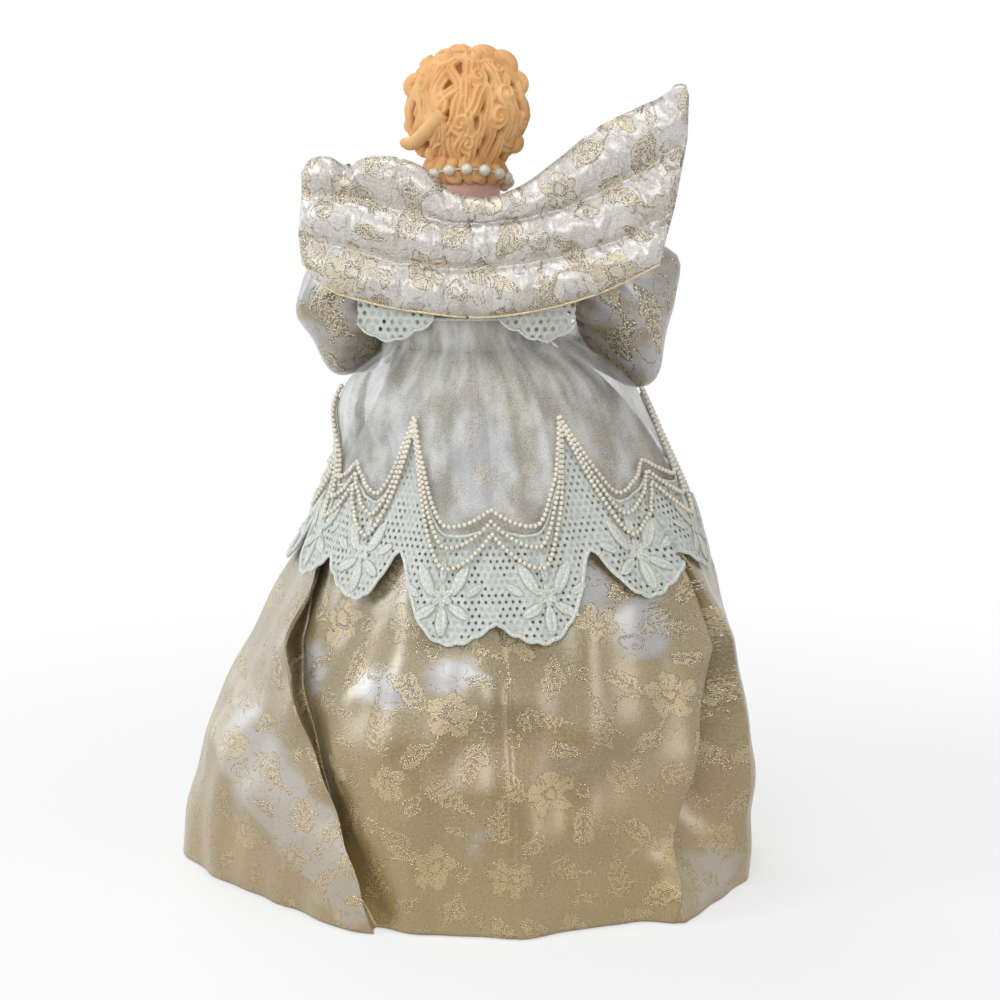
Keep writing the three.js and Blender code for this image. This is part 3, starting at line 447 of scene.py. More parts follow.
def flower_figure(x, y, at, degrees, radius):
    """How far inside a flower of five petals, whose radius follows the cosine of 2.5 times the angle. A
    ring round the eye and three veins in each petal are left out."""
    along, across = turned(x, y, at, degrees)
    reach, angle = from_middle(along, across)
    petal = (angle * 2.5).maths("COSINE", angle * 2.5).size() ** 0.6
    inside = (petal * 0.5 + 0.5) * radius - reach
    ring = (reach - radius * 0.3).size() - 0.4
    vein = (angle * 7.5).wave().size() * reach * 0.35 + (radius * 0.45 - reach).most(0)
    return inside.least(ring).least(vein - 0.25)


def fern_figure(x, y, at, degrees, length, half, bow):
    """How far inside a fern frond: leaflets 3.2 mm apart that lean forward from a bowed stem, longest in
    its lower middle and shorter to the tip."""
    along, across = turned(x, y, at, degrees)
    share = along / length
    across = across - share * share * bow
    away = across.size()
    envelope = (share * 7.0).least((1 - share) * 1.35).least(1.0) * half - away
    leaflet = 0.92 - (((along - away * 0.9) / 3.2).part() - 0.5).size() * 3.2
    return envelope.least(leaflet).most(0.36 - away).least(along).least(length - along)


def scroll_figure(x, y, at, radius, hand):
    """How far inside a spiral line 1 mm wide whose turns are 3.2 mm apart, winding to one hand."""
    reach, angle = from_middle(*turned(x, y, at, 0))
    line = 0.5 - ((reach / 3.2 - angle * (hand / (2 * math.pi))).part() - 0.5).size() * 3.2
    return line.least(radius - reach)


def stem_figure(x, y, at, degrees, radius):
    """How far inside half a ring, 0.9 mm wide: a curved stem between two figures."""
    along, across = turned(x, y, at, degrees)
    reach, _ = from_middle(along, across)
    return (0.45 - (reach - radius).size()).least(along)


def woven_figures(x, y):
    """How far a point is inside the figures of one repeat, in millimetres."""
    column = (x / REPEAT_ACROSS).maths("FLOOR", x / REPEAT_ACROSS)
    x = x - column * REPEAT_ACROSS - REPEAT_ACROSS / 2
    drop = y + column * (REPEAT_DOWN / 2)
    y = drop.maths("FLOORED_MODULO", drop, REPEAT_DOWN) - REPEAT_DOWN / 2
    figures = [
        flower_figure(x, y, (-9, 12), 20, 10.0),
        flower_figure(x, y, (13, -19), 70, 7.6),
        leaf_figure(x, y, (8.5, 19), 48, 21, 4.6, 1.6),
        leaf_figure(x, y, (-18.5, -5), -72, 19, 4.2, -1.5),
        leaf_figure(x, y, (2, -7), -38, 15, 3.4, 1.2),
        leaf_figure(x, y, (-17, 27), 12, 12, 2.7, 0.8),
        fern_figure(x, y, (17.5, -7), 78, 25, 5.4, 3.0),
        fern_figure(x, y, (-2, -17), 212, 23, 5.2, -3.0),
        scroll_figure(x, y, (21, 26), 4.6, 1),
        scroll_figure(x, y, (-21.5, 10), 3.8, -1),
        scroll_figure(x, y, (1.5, -28), 4.4, -1),
        stem_figure(x, y, (1.5, 3), 200, 6.5),
        stem_figure(x, y, (8, 6), 20, 7.5),
        stem_figure(x, y, (-10, -26), 120, 6.0),
    ]
    inside = figures[0]
    for figure in figures[1:]:
        inside = inside.most(figure)
    return inside


print("fourteen figures to a repeat of", REPEAT_ACROSS, "by", REPEAT_DOWN, "mm")

# %% Brocade
TWILL_PITCH = 0.6
FLOAT_PITCH = 0.8
FIGURE_SCALE = 1.12
GROUND_DARK = rgb(107, 90, 48)
GROUND_LIGHT = rgb(148, 129, 83)
# A pale silvery grey, painted into the cloth's colour as the satin's sheen
PAINTED_SHEEN_COLOUR = rgb(164, 164, 166)
# The wings' ground is painted paler than the gown's, as the sheen that they show
WING_GROUND_DARK_PAINTED_SHEEN = rgb(172, 163, 149)
WING_GROUND_LIGHT_PAINTED_SHEEN = rgb(212, 207, 201)
FIGURE_COLOUR = rgb(190, 170, 124)
GILT_COLOUR = rgb(84, 66, 34)
# The pale colour painted on the gilt thread as its glints
PAINTED_GLINT_COLOUR = rgb(244, 236, 214)
# The warmer gold painted towards the hem, as the cloth looks where no sheen falls
HEM_PAINTED_GOLD = rgb(172, 142, 80)


def shifted(ink, start, place, scale, reach):
    """A start moved by noise read at a place: in X and Y, by up to the reach in metres."""
    shift = {0: noise(ink, place, scale, 1.0, 1), 1: (reach, reach, 0), 2: start}
    return ink.node("ShaderNodeVectorMath", {"operation": "MULTIPLY_ADD"}, shift)


def brocade_finish(name, ground_dark, ground_light, coat):
    """Satin with woven figures, for a darker and a lighter colour of the ground and a share of gloss."""
    finish, ink, shader = new_finish(
        name, Specular_IOR_Level=1.0, Coat_IOR=1.8, Coat_Roughness=0.32,
        Sheen_Weight=0.1, Sheen_Roughness=0.4)
    place = cloth_place(ink)
    bent = shifted(ink, place, place, 150, 0.007)
    frayed = shifted(ink, bent, place, 900, 0.0011)
    across, up, _ = frayed.axes()
    inside = woven_figures(across * (1000 * FIGURE_SCALE), up * (1000 * FIGURE_SCALE))
    figure = inside.step(-0.15, 0.15)
    vine_noise = noise(ink, frayed, 150, 0.5)
    vines = (1 - (vine_noise - 0.5).size().step(0.006, 0.016)) * (1 - inside.step(-1.2, -0.4))
    gilt = (1 - (inside.size() - 0.05).step(0.08, 0.42)).most(vines * 0.8)
    straight_across, straight_up, _ = place.axes()
    twill = (straight_across * (2000 * math.pi / TWILL_PITCH)).wave()
    float_lines = ((straight_across + straight_up) * (2000 * math.pi / FLOAT_PITCH)).wave()
    threads = twill * (1 - figure) + float_lines * figure
    slub = noise(ink, place, 1100, 3.0)
    # Glint spots on the thread: raised and glossier, and also painted pale below as highlights
    raised_painted_glint = noise(ink, place, 2400, 1.0).step(0.52, 0.68)
    patch = noise(ink, place, 40, 2.0)
    height = object_place(ink).axes()[2]
    ground = (slub * 0.9 + patch * 0.5 + threads * 0.06).step(0.45, 0.95).between(ground_dark, ground_light)
    # Painted sheen: where the points' value says, broken by streaky noise, the ground is painted towards a
    # silvery grey that stands in for the satin's sheen
    painted_sheen = point_mark(ink, "painted_sheen")
    drawn_out = ink.node("ShaderNodeVectorMath", {"operation": "MULTIPLY"}, {0: place, 1: (0.35, 1.0, 0)})
    streak = noise(ink, drawn_out, 170, 2.0)
    painted_sheen_cover = (painted_sheen * 1.2 + (streak - 0.5) * 0.8).step(0.26, 0.66) * (0.65 + slub * 0.5)
    ground = painted_sheen_cover.least(0.92).between(ground, PAINTED_SHEEN_COLOUR)
    colour = (figure * (0.28 + patch.step(0.35, 0.65) * 0.42)).between(ground, FIGURE_COLOUR)
    colour = (gilt * (1 - raised_painted_glint) * 0.8).between(colour, GILT_COLOUR)
    # Painted highlight: the glint spots are painted pale on the gilt and the figures
    colour = ((gilt * 0.95 + figure * 0.45) * raised_painted_glint).between(colour, PAINTED_GLINT_COLOUR)
    # Painted light: the lowest 12 cm of cloth is painted a warmer gold, as it looks where no sheen falls
    colour = ((1 - height.step(0.0, 0.12)) * 0.45).between(colour, HEM_PAINTED_GOLD)
    gloss = 0.28 + figure * 0.10 + patch * 0.06 + slub * 0.08 + gilt * 0.1 - gilt * raised_painted_glint * 0.2
    relief = figure * 0.35 + threads * 0.03 + slub * 0.2 + gilt * raised_painted_glint * 1.0
    feed(shader, Base_Color=colour, Roughness=gloss, Metallic=0.12 + figure * 0.10 + gilt * 0.5,
         Coat_Weight=(1 - figure * 0.5) * coat, Normal=raised(ink, relief, 0.35, 0.0006))
    return finish


brocade = brocade_finish("champagne_brocade", GROUND_DARK, GROUND_LIGHT, 0.54)
wing_brocade = brocade_finish("wing_brocade_painted_sheen", WING_GROUND_DARK_PAINTED_SHEEN, WING_GROUND_LIGHT_PAINTED_SHEEN, 0.5)
print("brocade:", len(brocade.node_tree.nodes), "nodes")

# %% [markdown]
# ## Organza, lace, pearl and gold thread
# Organza is a sheer weave, so fine noise thins it and lets the brocade show through. Lace is a dense
# ground with small eyelets, not all of them open, painted a little darker round each eyelet as shade; the
# corded leaves and edges on it are real relief, made later, and the leaves are painted darker at their
# edges and along their middle, as shade. Pearls are painted beads with a clear coat, whose colour is
# painted greyer where they turn away from the view, as shade.

# %% Organza, lace, pearl and gold thread
organza, ink, shader = new_finish("sheer_organza", Roughness=0.5, Sheen_Weight=0.3, Sheen_Roughness=0.4)
place = cloth_place(ink)
weave = noise(ink, place, 1500, 2.0)
cloud = noise(ink, place, 60, 3.0)
feed(shader, Base_Color=cloud.step(0.3, 0.7).between(rgb(212, 213, 210), rgb(234, 235, 234)),
     Alpha=0.23 + weave.step(0.35, 0.65) * 0.18 + cloud.step(0.35, 0.7) * 0.26)


def lace_finish(name, eyelet, pitch):
    """Off-white lace ground with staggered eyelets of this radius and pitch, in millimetres."""
    finish, ink, shader = new_finish(name, Roughness=0.85, Sheen_Weight=0.2, Sheen_Roughness=0.6)
    place = cloth_place(ink)
    across, up, _ = place.axes()
    row = up * (1000 / (pitch * 0.86))
    stagger = (row.maths("FLOOR", row) * 0.5).part()
    x = ((across * (1000 / pitch) + stagger).part() - 0.5) * pitch
    y = (row.part() - 0.5) * (pitch * 0.86)
    reach = (x * x + y * y) ** 0.5
    open_here = noise(ink, place, 140, 0.0).step(0.42, 0.50)
    solid = 1 - (1 - reach.step(eyelet - 0.12, eyelet + 0.12)) * open_here
    rising = ((across + up) * (2000 * math.pi / 0.7)).wave()
    falling = ((across - up) * (2000 * math.pi / 0.9)).wave()
    stitch = rising * falling
    slub = noise(ink, place, 700, 3.0)
    rim = reach.step(eyelet + 0.15, eyelet + 0.55)
    # Round each eyelet the ground is painted a little darker, as shade at its edge
    tone = (slub * 0.7 + stitch * 0.15 + rim * 0.2).step(0.2, 0.8)
    colour = tone.between(rgb(180, 182, 172), rgb(220, 223, 216))
    feed(shader, Base_Color=colour, Alpha=solid,
         Normal=raised(ink, (1 - rim) * 0.6 + stitch * 0.3 + slub * 0.3, 0.5, 0.0004))
    return finish


lace_ground = lace_finish("lace_ground", 0.46, 2.6)
collar_ground = lace_finish("collar_lace", 0.72, 3.2)

cord_white, ink, shader = new_finish("lace_cord", Roughness=0.8, Sheen_Weight=0.2, Sheen_Roughness=0.6)
place = object_place(ink)
grain = noise(ink, place, 1400, 2.0)
painted_shade = point_mark(ink, "painted_shade")
thread_white = grain.step(0.3, 0.7).between(rgb(192, 194, 184), rgb(226, 228, 220))
# Painted shade: the cord's colour is painted darker where the points' value says it lies deep in its folds
feed(shader, Base_Color=(painted_shade.step(0.3, 1.0) * 0.8).between(thread_white, rgb(138, 137, 122)),
     Normal=raised(ink, grain, 0.4, 0.0003))

pearl, ink, shader = new_finish("pearl_bead", Roughness=0.24, Coat_Weight=0.7, Coat_Roughness=0.08)
place = object_place(ink)
# Painted shade: the bead's colour turns greyer where its surface turns away from the view
edge = ink.node("ShaderNodeLayerWeight", None, {"Blend": 0.35}, 1)
tone_and_edge_shade = (noise(ink, place, 260, 1.0) * 0.5 + edge * 0.6).step(0.1, 0.9)
feed(shader, Base_Color=tone_and_edge_shade.between(rgb(230, 222, 202), rgb(190, 182, 168)))

gold_thread, ink, shader = new_finish("gold_thread", Roughness=0.38, Metallic=0.35)
place = object_place(ink)
ply = noise(ink, place, 1600, 2.0)
feed(shader, Base_Color=ply.step(0.3, 0.7).between(rgb(204, 178, 128), rgb(238, 222, 186)),
     Normal=raised(ink, ply, 0.4, 0.0003))
print("organza, lace, pearl and thread ready")

# %% [markdown]
# ## The skirt
# A bell of brocade from the waist to the floor, cut in six gores. From the photograph: the back is
# smooth, a fold at the left runs from the waist to the middle of the hem, a deep pleat opens at the
# right, and its toe of cloth lies out on the floor. A cloth simulation would find folds of its own, so
# these are set one by one: the radius is a function of the bearing (degrees from the back towards the
# angel's left) and the share of the way down.

# %% The skirt's shape
WAIST = 196.3
HEM = 0.6
WAIST_HALVES = (26.5, 24.5)
HEM_HALVES = (106.0, 92.0)
GORES = 6
SEAM = -10.0


def ellipse(halves, bearing):
    """The radius of an ellipse with half widths along X and Y, at a bearing."""
    angle = np.radians(bearing)
    return 1 / np.hypot(np.sin(angle) / halves[0], np.cos(angle) / halves[1])


def bell_radius(bearing, share):
    """The plain bell: from the waist's ellipse to the hem's, by the sine of a quarter turn times the
    share to a power, which makes the right side fuller than the back, and the left side flatter."""
    sideways = np.sin(np.radians(bearing)) ** 2
    side_power = np.where(turn_from(bearing, 0) > 0, 1.25, 0.6)
    power = 0.85 + (side_power - 0.85) * sideways
    swell = np.sin(np.pi / 2 * np.clip(share, 0, 1) ** power)
    narrow, wide = ellipse(WAIST_HALVES, bearing), ellipse(HEM_HALVES, bearing)
    return narrow + (wide - narrow) * swell


# Shares of the way down, and the bearings there of the left fold and of the pleat's edge and ridge
LINE_SHARES = (0.0, 0.24, 0.39, 0.53, 0.65, 0.70, 0.77, 0.85, 0.97, 1.0)
LEFT_LINE = (72, 71, 69, 65, 53, 48, 42, 36, 24, 22)
PLEAT_EDGE = (-58, -58, -62, -63, -56.5, -54, -51, -47, -43.5, -43)
PLEAT_RIDGE = (-60.5, -60.5, -65.5, -70, -70, -70, -70.5, -71, -72, -73)
PLEAT_DEPTH = (0, 0, 9, 16, 18, 18, 16, 13, 4, 2)


def left_fold(bearing, share):
    """One panel lies over the next along a line that crosses the back: a ridge on its left side, a valley
    on its right, and a short step between them."""
    past = turn_from(bearing, np.interp(share, LINE_SHARES, LEFT_LINE))
    strength = 0.35 * rise(0.22, 0.40, share) + 0.65 * rise(0.42, 0.52, share) - 0.5 * rise(0.84, 1.0, share)
    over = rise(-1.6, 0.8, past)
    return strength * (over * 4.5 * hill(past, 13) - (1 - over) * 8.0 * hill(past, 10))


def lap(bearing, share):
    """How many degrees the left panel is drawn over the valley beside it: most at its edge, none in the
    valley."""
    past = turn_from(bearing, np.interp(share, LINE_SHARES, LEFT_LINE))
    strength = rise(0.24, 0.46, share) * (1 - 0.7 * rise(0.86, 1.0, share))
    return -10.0 * strength * rise(-1.2, 0.8, past) * hill(np.clip(past, 0, None), 18)


def right_pleat(bearing, share):
    """A pleat that opens downwards between the middle panel's edge and a ridge: the depth falls steeply
    past the edge and climbs slowly to the ridge, as the share across to the 0.3 times 1 less that share."""
    edge = np.interp(share, LINE_SHARES, PLEAT_EDGE)
    ridge = np.interp(share, LINE_SHARES, PLEAT_RIDGE)
    depth = np.interp(share, LINE_SHARES, PLEAT_DEPTH)
    bearing = turn_from(bearing, 0)
    across = np.clip((edge - bearing) / (edge - ridge), 0, 1)
    valley = across ** 0.3 * (1 - across) / 0.495
    lip = hill(bearing - edge, 8) * (bearing > edge) + (bearing <= edge) * hill(bearing - edge, 0.6)
    return depth * (0.45 * hill(bearing - ridge, 9) + 0.2 * lip - valley)


# Each shelf: bearing and share of its first end, bearing and share of its last end, millimetres out
SHELVES = ((88, 0.66, 22, 0.93, 6.0), (74, 0.45, 46, 0.50, 3.0), (44, 0.57, -4, 0.46, 4.5),
           (-2, 0.50, -30, 0.60, 3.0), (-24, 0.42, -58, 0.34, 4.0), (-92, 0.35, -112, 0.55, 3.0),
           (150, 0.45, 110, 0.6, 4.0), (-130, 0.6, -170, 0.45, 4.0))


def shelves(bearing, share):
    """Places where the cloth breaks outwards: past a slanting line the radius steps out, and on both
    sides it goes back evenly, so the waist and the hem keep their size."""
    out = 0
    for first, first_share, last, last_share, tall in SHELVES:
        along = turn_from(first, bearing) / (first - last)
        line = first_share + (last_share - first_share) * along
        window = rise(-0.15, 0.2, along) * (1 - rise(0.8, 1.15, along))
        out = out + tall * window * (rise(line - 0.07, line + 0.07, share) - share)
    return out


def toe(bearing, share):
    """A lobe of the hem at the pleat's edge that lies out on the floor: sharp on one side, fading on the
    other."""
    past = -45 - turn_from(bearing, 0)
    lobe = np.where(past < 0, hill(past, 4.0), np.exp(-np.clip(past, 0, None) / 13.0))
    return 14.0 * rise(0.85, 0.985, share) * lobe


# Each soft fold: bearing, width in degrees, millimetres out at the hem, power of the share
SOFT_FOLDS = ((57, 24, -12.0, 2.2), (94, 9, 5.0, 2.0), (-13, 9, 3.4, 3.0), (128, 13, 6.0, 1.5),
              (163, 12, -7.0, 1.5), (-174, 9, -6.0, 1.5), (-150, 9, 5.0, 1.5), (-122, 12, -5.0, 1.5),
              (-103, 8, 3.0, 1.5), (146, 7, 3.5, 1.5), (-8, 5, 0.8, 1.0), (30, 6, 1.2, 1.5),
              (-24, 6, -1.2, 2.0))


def soft_folds(bearing, share):
    """Broad hollows and swells all round, each a hill of some degrees, that grow towards the hem."""
    return sum(out * hill(turn_from(bearing, at), width) * share ** power
               for at, width, out, power in SOFT_FOLDS)


def small_ripples(bearing, share):
    """Slight unevenness of hanging cloth: three waves that drift round as they go down, and two slanting
    ones."""
    angle = np.radians(bearing)
    waves = (np.sin(17 * angle + 4.0 * share + 1.0) + np.sin(29 * angle - 7.0 * share + 2.2)
             + 0.8 * np.sin(9 * angle + 11.0 * share))
    slanting = np.sin(5 * angle + 26.0 * share + 0.7) + 0.7 * np.sin(-8 * angle + 41.0 * share + 2.0)
    return (0.45 * waves + 0.8 * slanting * (1 - rise(0.8, 1.0, share))) * share


def skirt_radius(bearing, share):
    """The bell with all its folds, and a slight dip along the seam at the back."""
    seam_dip = 0.5 * hill(turn_from(bearing, SEAM), 0.5) * rise(0, 0.2, share)
    return (bell_radius(bearing, share) + left_fold(bearing, share) + right_pleat(bearing, share)
            + toe(bearing, share) + soft_folds(bearing, share) + shelves(bearing, share)
            + small_ripples(bearing, share) - seam_dip)


def share_down(height):
    """The share of the way from the waist to the hem at a height."""
    return (WAIST - height) / (WAIST - HEM)


def round_body(bearing, radius, height):
    """Points at a bearing, a distance from the axis and a height."""
    angle = np.radians(bearing)
    return stack(radius * np.sin(angle), radius * np.cos(angle), height)


SKIRT_COLUMNS = 720
SKIRT_ROWS = 150
COLUMN_KEYS = np.array((-180.0, -115.0, -80.0, -54.0, -20.0, 0.0, 44.0, 92.0, 180.0))
spread = np.linspace(-180, 180, 2000)
crowd = 1 + 2.5 * hill(spread + 56, 7) + 1.2 * hill(spread + 72, 16) + 2.5 * hill(spread - 44, 7)
crowd = np.concatenate([[0], np.cumsum(crowd[1:])])
column_places = np.interp(np.arange(SKIRT_COLUMNS) / SKIRT_COLUMNS, crowd / crowd[-1], spread)


def column_bearing(column, share):
    """The bearing of a column of the grid at a share of the way down: the columns lean so that three of
    them run along the left fold's line and the pleat's edge and ridge, and those between lean in
    proportion."""
    drift = 0
    for key, line in ((-80.0, PLEAT_RIDGE), (-54.0, PLEAT_EDGE), (44.0, LEFT_LINE)):
        near = np.interp(column, COLUMN_KEYS, (COLUMN_KEYS == key).astype(float))
        drift = drift + near * (np.interp(share, LINE_SHARES, line) - key)
    return column + drift


# Each spot of painted sheen: bearing, share of the way down, width in degrees, height as a share, amount
PAINTED_SHEEN_SPOTS = ((49, 0.57, 9, 0.06, 0.7), (20, 0.57, 12, 0.045, 0.65), (3, 0.54, 10, 0.04, 0.6),
                (-46, 0.48, 9, 0.06, 0.75), (-34, 0.40, 8, 0.06, 0.7), (-60, 0.95, 14, 0.06, 0.6),
                (-22, 0.70, 8, 0.04, 0.35), (-2, 0.84, 5, 0.07, 0.35), (-6, 0.18, 15, 0.09, 0.8),
                (38, 0.16, 9, 0.10, 0.6), (-44, 0.20, 10, 0.10, 0.5), (112, 0.55, 20, 0.06, 0.42),
                (140, 0.80, 18, 0.07, 0.45), (172, 0.55, 24, 0.05, 0.42), (-150, 0.70, 19, 0.07, 0.45),
                (-118, 0.50, 18, 0.05, 0.42), (-100, 0.86, 14, 0.05, 0.4), (180, 0.20, 18, 0.10, 0.6))
PAINTED_SHEEN_BAND = (66, 0.74, 28, 0.93)


def painted_sheen_at(bearing, share):
    """Where a silvery sheen is painted over the gold: one slanting band on the left panel, and round
    patches, each a hill in the bearing times a hill in the share of the way down."""
    first, first_share, last, last_share = PAINTED_SHEEN_BAND
    along = turn_from(first, bearing) / (first - last)
    line = first_share + (last_share - first_share) * along
    band = hill(share - line, 0.07) * rise(-0.6, 0.0, along) * (1 - rise(0.9, 1.3, along))
    past = turn_from(bearing, np.interp(share, LINE_SHARES, LEFT_LINE))
    painted_sheen = 0.95 * band * rise(-2, 1, past)
    for at, at_share, width, tall, amount in PAINTED_SHEEN_SPOTS:
        spot = amount * hill(turn_from(bearing, at), width) * hill(share - at_share, tall)
        painted_sheen = np.maximum(painted_sheen, spot)
    return painted_sheen


shares = np.linspace(0, 1, SKIRT_ROWS) ** 1.15
column_grid, share_grid = np.meshgrid(column_places, shares)
bearing_grid = column_bearing(column_grid, share_grid)
lapped = bearing_grid + lap(bearing_grid, share_grid)
skirt_points = round_body(lapped, skirt_radius(bearing_grid, share_grid), WAIST - share_grid * (WAIST - HEM))
print("hem from", skirt_points[-1].min(0).round(1), "to", skirt_points[-1].max(0).round(1))

# %% [markdown]
# ## Cutting the skirt
# Brocade can't stretch, so a bell is cut in wedges. Each gore is laid flat like a slice of a cone, which
# keeps the flowers at one size from the waist to the hem and lets the figures break at the seams, as they
# do on the real skirt.

# %% The skirt
FLARE = 0.40
CONE_REACH = 66.0
GORE_LENGTH = 212
GORE_SPACING = 1.7
CLOTH_THICKNESS = 0.8


def gore_map(bearing, share, gore_middle):
    """Flat place of a point in its gore: the distance from the cone's tip, turned by the bearing times
    the flare."""
    reach = CONE_REACH + GORE_LENGTH * share
    angle = np.radians(turn_from(bearing, gore_middle)) * FLARE
    return stack(reach * np.sin(angle) + gore_middle * GORE_SPACING, -reach * np.cos(angle))


down, along = grid_corners(SKIRT_ROWS, SKIRT_COLUMNS, True)
gore_width = 360 / GORES
face_columns = column_places[along[:, :1]]
gore_middles = (np.floor((face_columns - SEAM) / gore_width) + 0.5) * gore_width + SEAM
skirt_cloth = gore_map(bearing_grid[down, along % SKIRT_COLUMNS], shares[down], gore_middles)
skirt_faces = down * SKIRT_COLUMNS + along % SKIRT_COLUMNS
skirt_marks = {"painted_sheen": painted_sheen_at(bearing_grid, share_grid)}
skirt = mesh_piece("skirt_cloth", skirt_points, skirt_faces, brocade, skirt_cloth, skirt_marks)
wall = skirt.modifiers.new("cloth", "SOLIDIFY")
wall.thickness = CLOTH_THICKNESS * MM
wall.offset = -1
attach(skirt, "root")
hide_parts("skirt")
print("skirt:", len(skirt.data.polygons), "faces")

# %% [markdown]
# ## The overskirt
# Sheer organza is gathered onto the bodice, a little above the waist and under the wings, and hangs to a
# third of the way down, lowest at the back. It lies over the brocade, bridges its valleys, and its
# gathers fan out from the top. Each gather is a narrow hill with its own bearing, width and height, drawn
# from a seeded list.

# %% The overskirt
OVERLAY_TOP = 208.4
OVERLAY_DROP = 46.0
UNDER_LACE = 6
OVERLAY_COLUMNS = 600
OVERLAY_ROWS = 66
DOME_LIFT = 0.035
TRAIN_DROP = 14.0
TRAIN_CENTRE = -8.0
TRAIN_HALF_WIDTH = 34.0
GATHERS = 74
luck = np.random.default_rng(11)
gather_bearings = np.linspace(-180, 180, GATHERS, endpoint=False) + luck.uniform(-2.2, 2.2, GATHERS)
gather_widths = luck.uniform(1.3, 2.6, GATHERS)
gather_heights = luck.uniform(0.5, 2.2, GATHERS)
gather_drift = luck.uniform(-3.0, 3.0, GATHERS)


def train(bearing):
    """How much lower the overskirt hangs towards its middle at the back."""
    return TRAIN_DROP * hill(turn_from(bearing, TRAIN_CENTRE), TRAIN_HALF_WIDTH)


def gathers(bearing, share):
    """Hills that fan out from the waist, fullest a little below it and fading down."""
    down = np.clip(share / 0.32, 0, 1.4)
    fullness = down ** 0.6 * (1 - 0.62 * rise(0.3, 1.2, down))
    lines = [tall * hill(turn_from(bearing, at + lean * down), width * (1 + 0.5 * down))
             for at, width, tall, lean in zip(gather_bearings, gather_widths, gather_heights, gather_drift)]
    return sum(lines) * fullness


def overskirt_radius(bearing, share):
    """The overskirt: outside the bodice and the skirt, over its valleys, with a puff under the waist that
    is fuller on the left and higher on the right, and its gathers. Near the waist the bell is lifted,
    which rounds its top."""
    lifted = share + DOME_LIFT * (1 - rise(0.0, 0.25, share))
    bodice_there = ellipse((29.7, 27.7), bearing) + 12.0 * np.clip(share + 0.06, -0.06, 0)
    lying = np.maximum(bell_radius(bearing, lifted), skirt_radius(bearing, np.clip(share, 0, 1)) - 0.4)
    lying = np.maximum(lying, bodice_there - 30.0 * rise(0, 0.1, share))
    left = hill(turn_from(bearing, 62), 42)
    right = hill(turn_from(bearing, -85), 45)
    puff = 4.6 * (1 - right) * hill(share - 0.10, 0.11) + 7.5 * left * hill(share - 0.085, 0.075)
    puff = puff + 3.0 * right * hill(share - 0.05, 0.05)
    return lying + 1.1 + puff * rise(-0.03, 0.05, share) + gathers(bearing, share)


overlay_bearings = np.linspace(-180, 180, OVERLAY_COLUMNS, endpoint=False)
down_share = np.linspace(0, 1, OVERLAY_ROWS)[:, None]
overlay_start = share_down(OVERLAY_TOP)
overlay_edge = share_down(WAIST - OVERLAY_DROP - train(overlay_bearings) - UNDER_LACE)
overlay_share = overlay_start + down_share * (overlay_edge - overlay_start)
overlay_radius = overskirt_radius(overlay_bearings, overlay_share)
overlay_points = round_body(overlay_bearings, overlay_radius, WAIST - overlay_share * (WAIST - HEM))
overlay_cloth = stack(np.linspace(-180, 180, OVERLAY_COLUMNS + 1) * 1.5, -70 * down_share)
overlay = grid_piece("overskirt", overlay_points, organza, overlay_cloth, wrap=True)
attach(overlay, "root")
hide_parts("overlay")
print("overskirt:", len(overlay.data.polygons), "faces,", GATHERS, "gathers")

# %% [markdown]
# ## The lace border
# Wide lace is sewn along the overskirt's edge. Its lower edge hangs in fifteen pendants, wider at the
# back than in front, two to a repeat: the cut between two pendants is shallow at a seam and deep under
# each net peak. Its upper edge swings up to the peaks. The ground is one sheet between the two edges, and
# the relief on it is laid in the lace's own flat coordinates: millimetres along the border and down from
# the waist.

# %% The lace's edges
PENDANTS = 15
PITCH = 360 / PENDANTS
LACE_RADIUS = 80.0
LACE_SPREAD = 0.17


def lace_units(bearing):
    """Pendants counted from the middle of the back: the bearing less a share of its sine, so that they
    are wider at the back than in front."""
    away = np.radians(bearing - TRAIN_CENTRE)
    return np.degrees(away - LACE_SPREAD * np.sin(away)) / PITCH


def unit_place(bearing):
    """Where a bearing lies in its pendant, from -1 to 1, and whether its nearest cut is a deep one."""
    units = lace_units(bearing)
    within = 2 * (units - np.floor(units)) - 1
    cut = np.round(units)
    deep = (np.abs(cut) % 2 == 1).astype(float)
    return within, deep


def lace_bottom(bearing):
    """The drop of the lower edge: pendants that round up from the cuts, and deep cuts under the peaks."""
    within, deep = unit_place(bearing)
    pendant = (1 - np.abs(within) ** 1.6) * 10.0
    cut = deep * 13.0 * hill(1 - np.abs(within), 0.45)
    scallop = 0.8 * np.abs(np.sin(np.pi * 3.5 * within))
    return OVERLAY_DROP + 1.4 * train(bearing) + 22.0 + pendant - cut + scallop


def lace_top(bearing):
    """The drop of the upper edge: it swings up high to each peak and a little to each seam."""
    within, deep = unit_place(bearing)
    swing = np.abs(within) ** 1.6 * (5.0 + deep * 25.0)
    return OVERLAY_DROP + train(bearing) + 2.0 - swing


def on_overskirt(bearing, drop, out):
    """Points that lie on the overskirt at a bearing and a drop below the waist, lifted off it by a
    distance."""
    share = share_down(WAIST - drop)
    return round_body(bearing, overskirt_radius(bearing, share) + out, WAIST - drop)


